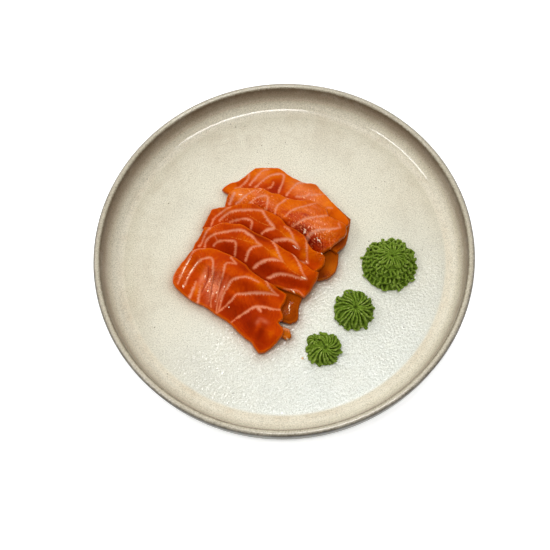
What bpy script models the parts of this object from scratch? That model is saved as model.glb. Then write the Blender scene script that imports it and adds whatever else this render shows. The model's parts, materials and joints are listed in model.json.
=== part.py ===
"""A plate of salmon sashimi with piped wasabi, served on low-walled stoneware.

The plate is turned. A row of salmon slices lies on it, each overlapping the one behind, over the ends of
lower slices. Three piped rosettes stand beside the row. Metres, +Z up, with the origin at the centre of
the plate's base, so that the part stands on z = 0. The +Y side is the back of the plate.
"""

import math

import bpy
import numpy as np

MM = 0.001  # the food's outlines are written in millimetres

# The plate.
PLATE_RADIUS = 0.110
PLATE_HEIGHT = 0.022
RIM_THICKNESS = 0.0040
FLOOR_TOP = 0.0060
FLOOR_UNDERSIDE = 0.0020
FLOOR_RADIUS = 0.0955  # where the flat floor starts to turn up
COVE_RADIUS = 0.0098
COVE_ANGLE = 76  # degrees that it turns through, so that the wall leans out a little
WALL_LEAN = 0.0004
HEEL_WIDTH = 0.0125  # how far the outer wall tucks under, and from what height
HEEL_HEIGHT = 0.0100
FOOT_INNER = 0.0700
FOOT_OUTER = 0.0745
FOOT_FLARE = 0.0008  # the foot ring's sides slope out by this
PLATE_STEPS = 72

# The salmon. A slice's outline is in the row's own frame: x runs along the slices and y from the front
# slice to the back one. The whole row is turned by ROW_HEADING on the plate.
ROW_HEADING = math.radians(-35)
TOP_THICKNESS = 4.0
LOWER_THICKNESS = 3.4
EDGE_INSET = 1.5  # width of the rounded edge, seen from above
LOWER_EDGE = 0.6  # the underside's edge is this much sharper
SIDE_ANGLES = (30, -25)  # where the rounded side has a line of points, in degrees from the level
DRAPE_RADIUS = 4  # how gently a slice bends over what lies under it
OVERHANG = 1  # how far it stays up beyond the edge below it
TOUCH_GAP = 0.5
FIELD_X = (-62, 42)  # the height field that the slices are laid on, in steps of 1 mm
FIELD_Y = (-70, 56)
TOP_CELLS = (12, 6)  # along and across a slice
LOWER_CELLS = (8, 4)

# Each outline is its front and back edge from left to right, and the points between them at either end,
# from the front. The slices are listed as they are laid down, lowest first.
LOWER_SLICES = {
    "lower_slice_middle": {
        "front": [(-18, -6.5), (-1.5, -8), (12.5, -8), (26, -6)],
        "right": [(31, -1), (32.5, 6.5)],
        "back": [(-16.5, 12.5), (-1.5, 15.5), (14, 17.5), (29, 15.5)],
        "left": [(-21, 3.5)],
    },
    "lower_slice_back": {
        "front": [(-17, 20.5), (-1.5, 19), (14.5, 15.5), (28.5, 13.5)],
        "right": [(30, 21), (28, 30)],
        "back": [(-14.5, 39), (-1.5, 41.5), (10.5, 42.5), (25, 38.5)],
        "left": [(-19, 30)],
    },
    "lower_slice_front": {
        "front": [(-16, -36), (-1.5, -37.5), (12.5, -38), (24.5, -36.5)],
        "right": [(27.5, -32), (24.5, -25)],
        "back": [(-13.5, -12), (-1.5, -11), (10.5, -11.5), (23, -16)],
        "left": [(-19, -24)],
    },
    "lower_slice_corner": {
        "front": [(7.5, -46), (16.5, -46), (27.5, -45.5)],
        "right": [(29, -42.5)],
        "back": [(7.5, -40.5), (17, -40), (26, -39)],
        "left": [(5.5, -43)],
    },
}
TOP_SLICES = {
    "slice_5": {
        "front": [(-53, 18.5), (-46.5, 18), (-19, 19), (6, 18), (22, 22.5)],
        "right": [(24, 27), (25.5, 32.5)],
        "back": [(-42, 40), (-32, 47), (-15.5, 46.5), (-5.5, 48), (7.5, 43), (22.5, 36.5)],
        "left": [(-49, 25), (-44.5, 33.5)],
    },
    "slice_4": {
        "front": [(-45.5, 8.5), (-21, 5.5), (-1, 5), (19.5, 7)],
        "right": [(25, 13.5), (28.5, 24.5)],
        "back": [(-45, 21), (-33.5, 27.5), (-17.5, 29), (-5.5, 31), (3.5, 34.5), (15, 29.5), (26.5, 29.5)],
        "left": [(-46.5, 14)],
    },
    "slice_3": {
        "front": [(-50.5, -9), (-21.5, -10.5), (3, -10.5), (20.5, -8)],
        "right": [(24.5, -1), (25.5, 4)],
        "back": [(-47, 6.5), (-35.5, 13), (-24.5, 15.5), (-8.5, 14.5), (3, 12), (14.5, 8), (24, 8.5)],
        "left": [(-51, -2.5), (-51.5, 4.5)],
    },
    "slice_2": {
        "front": [(-48.5, -24), (-30, -28), (-9, -27), (9.5, -21.5), (25, -19.5)],
        "right": [(26, -12.5), (26.5, -7.5)],
        "back": [(-45, -8.5), (-35, -0.5), (-16.5, 0), (1, -1), (12.5, -2.5), (25, -3.5)],
        "left": [(-49, -16)],
    },
    "slice_1": {
        "front": [(-48, -47.5), (-33.5, -51), (-13.5, -52), (5, -56), (16, -59.5)],
        "right": [(22.5, -54), (25, -45.5), (18.5, -38.5), (16.5, -30.5)],
        "back": [(-41.5, -21.5), (-30.5, -17.5), (-15, -19.5), (1, -22.5), (16, -23)],
        "left": [(-50, -38.5), (-47.5, -28)],
    },
}

# The wasabi. Swirl is how far a ridge turns from the centre to the edge, in degrees.
ROSETTES = {
    "wasabi_large": {
        "centre": (0.0610, -0.0137), "radius": 0.0166, "height": 0.0145,
        "ridges": 30, "tiers": 3, "swirl": 12,
    },
    "wasabi_medium": {
        "centre": (0.0367, -0.0393), "radius": 0.0118, "height": 0.0095,
        "ridges": 22, "tiers": 1, "swirl": 14,
    },
    "wasabi_small": {
        "centre": (0.0165, -0.0602), "radius": 0.0097, "height": 0.0080,
        "ridges": 20, "tiers": 1, "swirl": 32,
    },
}
TIER_PROFILE = [(0.90, 0.00), (1.00, 0.22), (0.98, 0.50), (0.84, 0.74), (0.64, 0.90)]
TIER_SHRINK = 0.27  # how much narrower each tier is than the one below
CROWN_PROFILE = [(0.42, 0.97), (0.20, 0.97)]
PIT_HEIGHT = 0.90
RIDGE_DEPTH = 0.07  # of the radius
ROSETTE_GAP = 0.0003

# colour, roughness, metallic
STONEWARE = ((0.70, 0.67, 0.58), 0.35, 0.0)
SALMON = ((0.80, 0.16, 0.02), 0.25, 0.0)
LOWER_SALMON = ((0.62, 0.13, 0.02), 0.25, 0.0)
WASABI = ((0.13, 0.23, 0.05), 0.80, 0.0)


def clear_scene():
    for obj in list(bpy.data.objects):
        bpy.data.objects.remove(obj, do_unlink=True)


def new_collection(name):
    collection = bpy.data.collections.new(name)
    bpy.context.scene.collection.children.link(collection)
    return collection


def material(name, look):
    colour, roughness, metallic = look
    made = bpy.data.materials.new(name)
    made.use_nodes = True
    shader = made.node_tree.nodes["Principled BSDF"]
    shader.inputs["Base Color"].default_value = (*colour, 1)
    shader.inputs["Roughness"].default_value = roughness
    shader.inputs["Metallic"].default_value = metallic
    return made


def add_piece(collection, name, points, faces, look):
    """A mesh object in the collection. Its faces may be none, for a profile that a modifier turns."""
    mesh = bpy.data.meshes.new(name)
    edges = [] if faces else [(i, i + 1) for i in range(len(points) - 1)]
    mesh.from_pydata([tuple(map(float, point)) for point in points], edges, faces)
    mesh.materials.append(material(name, look))
    obj = bpy.data.objects.new(name, mesh)
    collection.objects.link(obj)
    return obj


# ---------------------------------------------------------------- the plate


def arc(centre, radii, start, end, steps):
    """Points (x, z) along an elliptical arc, with its angles in degrees."""
    angles = np.radians(np.linspace(start, end, steps + 1))
    return [(centre[0] + radii[0] * math.cos(a), centre[1] + radii[1] * math.sin(a)) for a in angles]


def plate_profile():
    """The plate's section from the middle of the floor, over the rim and under to the middle again."""
    rim = RIM_THICKNESS / 2
    rim_centre = (PLATE_RADIUS - rim, PLATE_HEIGHT - rim)
    cove_centre = (FLOOR_RADIUS, FLOOR_TOP + COVE_RADIUS)
    heel_centre = (PLATE_RADIUS - WALL_LEAN - HEEL_WIDTH, FLOOR_UNDERSIDE + HEEL_HEIGHT)
    section = [(0, FLOOR_TOP)]
    section += arc(cove_centre, (COVE_RADIUS, COVE_RADIUS), -90, COVE_ANGLE - 90, 4)
    section += arc(rim_centre, (rim, rim), 180, 0, 4)
    section += arc(heel_centre, (HEEL_WIDTH, HEEL_HEIGHT), 0, -90, 3)
    section += [(FOOT_OUTER + FOOT_FLARE, FLOOR_UNDERSIDE), (FOOT_OUTER, 0), (FOOT_INNER, 0)]
    section += [(FOOT_INNER - FOOT_FLARE, FLOOR_UNDERSIDE), (0, FLOOR_UNDERSIDE)]
    return section


def make_plate(collection):
    points = [(x, 0, z) for x, z in plate_profile()]
    plate = add_piece(collection, "plate", points, [], STONEWARE)
    turn = plate.modifiers.new("turn", "SCREW")
    turn.steps = PLATE_STEPS
    turn.render_steps = PLATE_STEPS
    turn.use_merge_vertices = True
    turn.merge_threshold = 0.00001
    turn.use_smooth_shade = True


# ---------------------------------------------------------------- the salmon


def smooth_curve(points, steps):
    """Points at even distances along a Catmull-Rom curve through the given ones."""
    points = np.array(points, float)
    ends = np.vstack([2 * points[0] - points[1], points, 2 * points[-1] - points[-2]])
    fine = []
    for before, here, there, after in zip(ends, ends[1:], ends[2:], ends[3:]):
        for t in np.linspace(0, 1, 12, endpoint=False):
            bend = 2 * before - 5 * here + 4 * there - after
            twist = 3 * here - before - 3 * there + after
            fine.append(here + 0.5 * ((there - before) * t + bend * t**2 + twist * t**3))
    fine.append(points[-1])
    fine = np.array(fine)
    along = np.concatenate([[0], np.cumsum(np.hypot(*np.diff(fine, axis=0).T))])
    even = np.linspace(0, along[-1], steps + 1)
    return np.column_stack([np.interp(even, along, fine[:, k]) for k in (0, 1)])


def outline_edges(outline, cells):
    """The four edges of a slice: front and back run to the right, left and right run to the back."""
    front, back = outline["front"], outline["back"]
    right = [front[-1], *outline["right"], back[-1]]
    left = [front[0], *outline["left"], back[0]]
    return [smooth_curve(edge, n) for edge, n in
            ((front, cells[0]), (back, cells[0]), (left, cells[1]), (right, cells[1]))]


def closed_ring(front, back, left, right):
    """The edges joined into one ring, counter-clockwise from the front left corner."""
    return np.vstack([front[:-1], right[:-1], back[:0:-1], left[:0:-1]])


def inward_normals(ring):
    tangent = np.roll(ring, -1, axis=0) - np.roll(ring, 1, axis=0)
    tangent /= np.hypot(*tangent.T)[:, None]
    return np.column_stack([-tangent[:, 1], tangent[:, 0]])


def patch(ring, cells):
    """A grid of points inside a ring, blended from its four sides (a Coons patch)."""
    n, m = cells
    front, right = ring[: n + 1], ring[n : n + m + 1]
    back = ring[n + m : 2 * n + m + 1][::-1]
    left = np.vstack([ring[2 * n + m :], ring[:1]])[::-1]
    s = np.linspace(0, 1, n + 1)[:, None, None]
    t = np.linspace(0, 1, m + 1)[None, :, None]
    across = (1 - t) * front[:, None] + t * back[:, None]
    along = (1 - s) * left[None] + s * right[None]
    corners = (1 - s) * (1 - t) * front[0] + s * (1 - t) * front[-1] + (1 - s) * t * back[0] + s * t * back[-1]
    return across + along - corners


def distance_inside(ring, x, y):
    """How far each point lies inside the ring, and less than 0 outside it."""
    nearest = np.full(x.shape, np.inf)
    inside = np.zeros(x.shape, bool)
    for (ax, ay), (bx, by) in zip(ring, np.roll(ring, -1, axis=0)):
        dx, dy = bx - ax, by - ay
        t = np.clip(((x - ax) * dx + (y - ay) * dy) / (dx * dx + dy * dy), 0, 1)
        nearest = np.minimum(nearest, np.hypot(x - ax - t * dx, y - ay - t * dy))
        if ay != by:
            inside ^= ((ay > y) != (by > y)) & (x < ax + (y - ay) / (by - ay) * dx)
    return np.where(inside, nearest, -nearest)


def rounded(inset):
    """Height of the rounded edge at this distance from it: 0 at the edge, 1 where it ends."""
    return np.sqrt(1 - (1 - np.clip(inset / EDGE_INSET, 0, 1)) ** 2)


def shifted_copies(values, radius):
    """The values of a grid moved by every whole step within a radius."""
    steps = range(-radius, radius + 1)
    return [np.roll(values, (i, j), (0, 1)) for i in steps for j in steps if i * i + j * j <= radius**2]


class HeightField:
    """The top of everything laid so far, on a grid of 1 mm."""

    def __init__(self):
        self.x = np.arange(FIELD_X[0], FIELD_X[1] + 1, dtype=float)
        self.y = np.arange(FIELD_Y[0], FIELD_Y[1] + 1, dtype=float)
        self.grid = np.meshgrid(self.x, self.y, indexing="ij")
        self.top = np.full(self.grid[0].shape, FLOOR_TOP / MM)

    def draped(self, inside):
        """The underside of a slice: the top below it, widened and then smoothed, so that it clears it."""
        under = np.where(inside, self.top, FLOOR_TOP / MM)
        wide = np.maximum.reduce(shifted_copies(under, DRAPE_RADIUS + OVERHANG))
        return np.mean(shifted_copies(wide, DRAPE_RADIUS), axis=0)

    def read(self, values, points):
        """Values at points off the grid."""
        fx = np.clip(points[..., 0] - self.x[0], 0, len(self.x) - 1.001)
        fy = np.clip(points[..., 1] - self.y[0], 0, len(self.y) - 1.001)
        i, j = fx.astype(int), fy.astype(int)
        u, v = fx - i, fy - j
        near = values[i, j] * (1 - v) + values[i, j + 1] * v
        far = values[i + 1, j] * (1 - v) + values[i + 1, j + 1] * v
        return near * (1 - u) + far * u


def slice_solid(field, outline, thickness, cells):
    """Points and faces of one draped slice. It is then part of the field for the next one."""
    ring = closed_ring(*outline_edges(outline, cells))
    normals = inward_normals(ring)
    inset = distance_inside(ring, *field.grid)
    base = field.draped(inset > 0) + TOUCH_GAP

    upper = patch(ring + EDGE_INSET * normals, cells)
    lower = patch(ring + LOWER_EDGE * EDGE_INSET * normals, cells)
    layers = [np.dstack([upper, field.read(base, upper) + thickness])]
    bands = []
    for angle in np.radians(SIDE_ANGLES):
        rise = 0.5 * thickness * (1 + math.sin(angle))
        side = ring + EDGE_INSET * (1 - math.cos(angle)) * normals
        bands.append(np.column_stack([side, field.read(base, side) + rise]))
    layers.append(np.dstack([lower, field.read(base, lower)]))

    field.top = np.where(inset > 0, base + 0.5 * thickness * (1 + rounded(inset)), field.top)
    return join_layers(layers, bands, cells)


def join_layers(layers, bands, cells):
    """A closed body from a top grid, the bands around its side and a bottom grid."""
    n, m = cells
    size = (n + 1) * (m + 1)
    points = np.vstack([layers[0].reshape(-1, 3), layers[1].reshape(-1, 3), *bands])

    def at(i, j):
        return i * (m + 1) + j

    faces = []
    for i in range(n):
        for j in range(m):
            quad = [at(i, j), at(i + 1, j), at(i + 1, j + 1), at(i, j + 1)]
            faces.append(quad)
            faces.append([size + k for k in reversed(quad)])
    border = [at(i, 0) for i in range(n)] + [at(n, j) for j in range(m)]
    border += [at(i, m) for i in range(n, 0, -1)] + [at(0, j) for j in range(m, 0, -1)]
    count = len(border)
    rings = [border]
    rings += [[2 * size + b * count + k for k in range(count)] for b in range(len(bands))]
    rings.append([size + k for k in border])
    for above, below in zip(rings, rings[1:]):
        for k in range(count):
            after = (k + 1) % count
            faces.append([above[k], below[k], below[after], above[after]])
    return points, faces


def make_salmon(collection):
    field = HeightField()
    for slices, thickness, cells, look in (
        (LOWER_SLICES, LOWER_THICKNESS, LOWER_CELLS, LOWER_SALMON),
        (TOP_SLICES, TOP_THICKNESS, TOP_CELLS, SALMON),
    ):
        for name, outline in slices.items():
            points, faces = slice_solid(field, outline, thickness, cells)
            piece = add_piece(collection, name, points * MM, faces, look)
            piece.rotation_euler.z = ROW_HEADING
            piece.data.shade_smooth()


# ---------------------------------------------------------------- the wasabi


def rosette_profile(tiers):
    """(radius, height) from the base to the rim of the centre pit, as shares of the whole."""
    profile = []
    for tier in range(tiers):
        outer = 1 - TIER_SHRINK * tier
        profile += [(outer * reach, (tier + rise) / tiers) for reach, rise in TIER_PROFILE]
    profile += [(outer * reach, (tiers - 1 + rise) / tiers) for reach, rise in CROWN_PROFILE]
    return profile


def rosette_ring(level, reach, rise, shape):
    """One ring of a rosette, with a point on each ridge and one in each groove."""
    tier, step = divmod(level, len(TIER_PROFILE))
    depth = RIDGE_DEPTH * min(1, 1.6 * reach) * (1 if step else 0.6)
    turned = math.radians(shape["swirl"]) * reach + tier * math.pi / shape["ridges"]
    ring = []
    for k in range(2 * shape["ridges"]):
        angle = math.pi * k / shape["ridges"] + turned
        uneven = 1 + 0.035 * math.sin(3 * angle + shape["tiers"]) + 0.025 * math.sin(7 * angle + 2 * level)
        ridge = depth if k % 2 == 0 else -depth
        across = shape["radius"] * reach * uneven * (1 + ridge)
        up = shape["height"] * rise * (1 + min(0, ridge) / 2)
        ring.append((across * math.cos(angle), across * math.sin(angle), up))
    return ring


def rosette_solid(shape):
    """Points and faces of a piped rosette: one closed body with a ridge for each tooth of the nozzle."""
    profile = rosette_profile(shape["tiers"])
    rings = [rosette_ring(level, reach, rise, shape) for level, (reach, rise) in enumerate(profile)]
    points = [point for ring in rings for point in ring]
    count = len(rings[0])
    top = len(points) - count
    faces = []
    for k in range(count):
        after = (k + 1) % count
        for low in range(0, top, count):
            faces.append([low + k, low + after, low + count + after, low + count + k])
        faces.append([len(points), after, k])
        faces.append([len(points) + 1, top + k, top + after])
    points += [(0, 0, 0), (0, 0, shape["height"] * PIT_HEIGHT)]
    return points, faces


def make_wasabi(collection):
    for name, shape in ROSETTES.items():
        points, faces = rosette_solid(shape)
        rosette = add_piece(collection, name, points, faces, WASABI)
        rosette.location = (*shape["centre"], FLOOR_TOP + ROSETTE_GAP)


def main():
    clear_scene()
    collection = new_collection("sashimi_plate")
    make_plate(collection)
    make_salmon(collection)
    make_wasabi(collection)


main()
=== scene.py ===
"""The looks of a plate of salmon sashimi with piped wasabi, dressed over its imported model.

Every solid of the model is replaced by a finer piece in the same place: the turned stoneware plate, the
salmon slices with their fat seams and the three piped rosettes. One piece is added, a crumb on the glaze.
Slices and ridges are written in millimetres and everything else in metres, with +Z up and +Y to the back
of the plate.
"""

import json
import math

import bmesh
import bpy
import numpy as np
from mathutils import Matrix, Vector, noise

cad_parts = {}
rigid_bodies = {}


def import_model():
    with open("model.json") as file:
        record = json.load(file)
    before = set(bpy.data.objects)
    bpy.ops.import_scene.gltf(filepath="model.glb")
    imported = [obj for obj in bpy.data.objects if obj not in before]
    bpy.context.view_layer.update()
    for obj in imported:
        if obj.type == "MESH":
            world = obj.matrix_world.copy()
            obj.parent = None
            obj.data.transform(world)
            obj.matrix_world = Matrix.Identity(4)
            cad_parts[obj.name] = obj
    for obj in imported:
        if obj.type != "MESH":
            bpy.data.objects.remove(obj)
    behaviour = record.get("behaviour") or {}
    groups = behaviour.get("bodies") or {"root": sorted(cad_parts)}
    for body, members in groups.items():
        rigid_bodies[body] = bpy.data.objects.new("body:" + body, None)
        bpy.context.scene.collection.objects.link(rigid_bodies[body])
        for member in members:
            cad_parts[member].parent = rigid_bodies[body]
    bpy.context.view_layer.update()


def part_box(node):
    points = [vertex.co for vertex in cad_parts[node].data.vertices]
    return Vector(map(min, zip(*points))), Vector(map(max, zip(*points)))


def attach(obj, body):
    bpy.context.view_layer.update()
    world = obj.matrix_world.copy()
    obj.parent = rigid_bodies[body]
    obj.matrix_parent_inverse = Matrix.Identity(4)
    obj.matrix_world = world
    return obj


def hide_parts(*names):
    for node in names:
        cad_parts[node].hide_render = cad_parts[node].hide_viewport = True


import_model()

MM = 0.001
SEED = 7

# ---------------------------------------------------------------- sizes

# The plate's turned section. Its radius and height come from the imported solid.
PLATE_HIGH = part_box("plate")[1]
PLATE_RADIUS = PLATE_HIGH.x
PLATE_HEIGHT = PLATE_HIGH.z
RIM_THICKNESS = 0.0040
FLOOR_TOP = 0.0060
FLOOR_UNDERSIDE = 0.0020
FLOOR_RADIUS = 0.0955
COVE_RADIUS = 0.0098
COVE_ANGLE = 76
WALL_LEAN = 0.0004
HEEL_WIDTH = 0.0125
HEEL_HEIGHT = 0.0100
FOOT_INNER = 0.0700
FOOT_OUTER = 0.0745
FOOT_FLARE = 0.0008
PLATE_STEPS = 360
COVE_STEPS = 18
RIM_STEPS = 16
HEEL_STEPS = 14
SECTION_STEP = 0.0035  # longest straight stretch of the section
THROWN_WAVE = 0.00012  # how far the thrown clay wanders from a true circle
THROWN_SIZES = (0.045, 0.06)  # length of the wave in height and in radius
THROWN_START = 0.02  # the radius inside which it dies away

# Marks along the section where the glaze changes, in mm from the middle of the floor.
FLOOR_END = 95.5
WALL_END = 115.2
RIM_TOP = 118.3
RIM_END = 121.5
RUN_RANGE = (60.0, 140.0)  # the stretch that the glaze's colours cover
PALE_GLAZE_AND_SHEEN_WAY = (270.0, -960.0, 0.0)  # toward the paler side, where the glaze is partly whiter and partly painted sheen, scaled so that 92 is where it is paler all over
# The colour that the painted shadow beside the salmon multiplies the glaze by.
PILE_SHADOW_TINT = (0.60, 0.42, 0.35, 1.0)

# The row of salmon, in its own frame: x runs along the slices, and y from the front slice to the back.
ROW_HEADING = math.radians(-35)
TOP_THICKNESS = 4.0
LOWER_THICKNESS = 3.4
EDGE_INSET = 0.85
LOWER_EDGE = 0.6
EDGE_ANGLES = (68, 48, 30, 14, 0, -14, -30, -50)  # lines of points down the rounded side
DRAPE_RADIUS = 4
OVERHANG = 1
TOUCH_GAP = 0.5
SETTLE = 0.4  # how far an underside sinks into the gap below it
FIELD_X = (-62, 42)
FIELD_Y = (-70, 56)
FIELD_STEP = 0.5
TOP_CELLS = (150, 72)
BEADED_CELLS = (262, 120)
BEADED_SLICES = ("slice_4", "slice_1")  # their beaded surface needs the finer grid
LOWER_CELLS = (80, 40)
EDGE_WAVER = 0.22  # how far a cut edge wanders
EDGE_WAVER_SIZE = 2.6
EDGE_SPREAD = 5  # neighbours on either side that an edge's direction is averaged over
CURVE_STEPS = 12  # between two points of an outline or a line
SEED_STEP = 10

# The relief of the muscle: it swells between its seams, waves softly, and is beaded where it is wet. Waves
# and beads are pairs of height and size.
SWELL = 0.22
SWELL_REACH = 0.9
WAVES = ((0.30, 9.0), (0.10, 2.6))
BEADS = ((0.17, 1.1), (0.06, 0.6))
RELIEF_LEVEL = 0.26  # how far all of it lies below the smooth form

# How the lines and patches below are drawn on a slice.
SEAM_EASING = 8  # rounds of smoothing along a line
LINE_STEP = 0.8
LINE_SHIFT = 37  # mm between two lines' counts along them, so that their streaks differ
LINE_EASE = 0.35  # how far a gash or a shine fades beside its line
FAR = 6.0  # mm, beyond which the distance to a line no longer matters
UNREACHED = 1e9
WET_EDGE = 0.45  # how wet the cut edges are, and how far in that reaches
WET_EDGE_WIDTH = 0.9
CONTACT_SHADOW_WIDTH = 0.6  # how far the painted contact shadow beside a covering slice reaches
HIDDEN_DEPTH = 20.0  # how far in front of its back edge a slice is at its darkest
TONE = 0.62
OPEN_FALL = 0.15  # how much darker a slice is at its front than at its back, in the open and covered: partly thicker flesh and partly painted shade under the slice in front
COVERED_FALL = 0.40

# The painted shadow of the salmon on the glaze, tinted pink by light thrown back from the fish: how far it
# spreads, and how far back along the row it reaches.
PILE_SHADOW_CELLS = (24, 12)
PILE_SHADOW_REACH = 2.9
PILE_SHADOW_BACK = 28.0
PILE_SHADOW_EASE = 24.0

LOWER_SLICES = {
    "lower_slice_middle": {
        "front": [(-18, -6.5), (-1.5, -8), (12.5, -8), (26, -6)],
        "right": [(31, -1), (32.5, 6.5)],
        "back": [(-16.5, 12.5), (-1.5, 15.5), (14, 17.5), (29, 15.5)],
        "left": [(-21, 3.5)],
    },
    "lower_slice_back": {
        "front": [(-17, 20.5), (-1.5, 19), (14.5, 15.5), (28.5, 13.5)],
        "right": [(30, 21), (28, 30)],
        "back": [(-14.5, 39), (-1.5, 41.5), (10.5, 42.5), (25, 38.5)],
        "left": [(-19, 30)],
    },
    "lower_slice_front": {
        "front": [(-16, -36), (-1.5, -37.5), (12.5, -38), (24.5, -36.5)],
        "right": [(27.5, -32), (24.5, -25)],
        "back": [(-13.5, -12), (-1.5, -11), (10.5, -11.5), (23, -16)],
        "left": [(-19, -24)],
    },
    "lower_slice_corner": {
        "front": [(7.5, -46), (16.5, -46), (27.5, -45.5)],
        "right": [(29, -42.5)],
        "back": [(7.5, -40.5), (17, -40), (26, -39)],
        "left": [(5.5, -43)],
    },
}
TOP_SLICES = {
    "slice_5": {
        "front": [(-53, 18.5), (-46.5, 18), (-19, 19), (6, 18), (22, 22.5)],
        "right": [(24, 27), (26, 32), (25.5, 34.5)],
        "back": [(-42.5, 41), (-40, 42.5), (-36.5, 44.5), (-32, 47), (-29.5, 48), (-25.5, 47.5),
                 (-20.5, 46.5), (-11, 46), (-6.5, 48), (-3.5, 48.5), (0.5, 46), (5.5, 43.5), (14.5, 40),
                 (22.5, 37)],
        "left": [(-52.5, 21.5), (-50.5, 25), (-47.5, 28), (-46, 31.5), (-44.5, 36)],
    },
    "slice_4": {
        "front": [(-45.5, 8.5), (-21, 5.5), (-1, 5), (19.5, 7)],
        "right": [(24.5, 13), (25.5, 16), (27, 19.5), (28.5, 25)],
        "back": [(-45, 21), (-43, 23), (-39, 25), (-33, 28), (-29, 29), (-23.5, 27.5), (-18.5, 29),
                 (-11.5, 29.5), (-5, 31.5), (-1, 34), (1.5, 34.5), (8, 33.5), (11, 33), (14, 30), (16, 29),
                 (23, 29.5), (26.5, 29)],
        "left": [(-46.5, 12), (-47, 16)],
    },
    "slice_3": {
        "front": [(-50.5, -9), (-21.5, -10.5), (3, -10.5), (20.5, -8)],
        "right": [(24.5, 0), (25.5, 4)],
        "back": [(-48, 7), (-44, 8), (-41, 9.5), (-36, 13), (-32.5, 14.5), (-28, 16), (-21.5, 15), (-14, 15),
                 (-8.5, 14.5), (-4.5, 12.5), (1, 12.5), (5.5, 12), (8.5, 11.5), (11, 9.5), (13.5, 8),
                 (16.5, 7), (20, 7.5), (21.5, 8.5), (24, 7.5)],
        "left": [(-51, -3.5), (-51.5, 1.5), (-51.5, 4.5)],
    },
    "slice_2": {
        "front": [(-48.5, -24), (-30, -28), (-9, -27), (9.5, -21.5), (25, -19.5)],
        "right": [(26, -15), (26, -11), (26.5, -7.5)],
        "back": [(-48, -9.5), (-44.5, -7), (-42.5, -4.5), (-39.5, -1.5), (-33, 0), (-28, 1), (-18.5, 0),
                 (-7.5, 0), (1.5, -1), (7.5, -1), (12.5, -2.5), (16.5, -3), (22, -4), (25.5, -3)],
        "left": [(-49, -19), (-48.5, -14)],
    },
    "slice_1": {
        "front": [(-47.5, -47.5), (-44.5, -49), (-38.5, -50.5), (-31.5, -51.5), (-23.5, -51), (-15, -52),
                  (-7, -52.5), (-3, -53.5), (1.5, -55), (6, -56), (10.5, -56.5), (14, -58.3), (17.5, -59.8)],
        "right": [(20.3, -57.8), (22.4, -54), (24.2, -49.3), (25, -45), (24, -42), (21, -40.5), (19.5, -39.5),
                  (20.5, -37), (19.5, -34.5), (17, -32.5), (16.5, -30), (16.5, -26.5)],
        "back": [(-41.5, -21), (-37, -19), (-32.5, -18), (-24, -18.5), (-14, -19.5), (-8, -21.5), (1, -22.5),
                 (8.5, -22.5), (15.5, -22.5)],
        "left": [(-49.5, -44), (-50, -38.5), (-49.5, -32.5), (-48, -27.5), (-45, -23.5)],
    },
}

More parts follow.
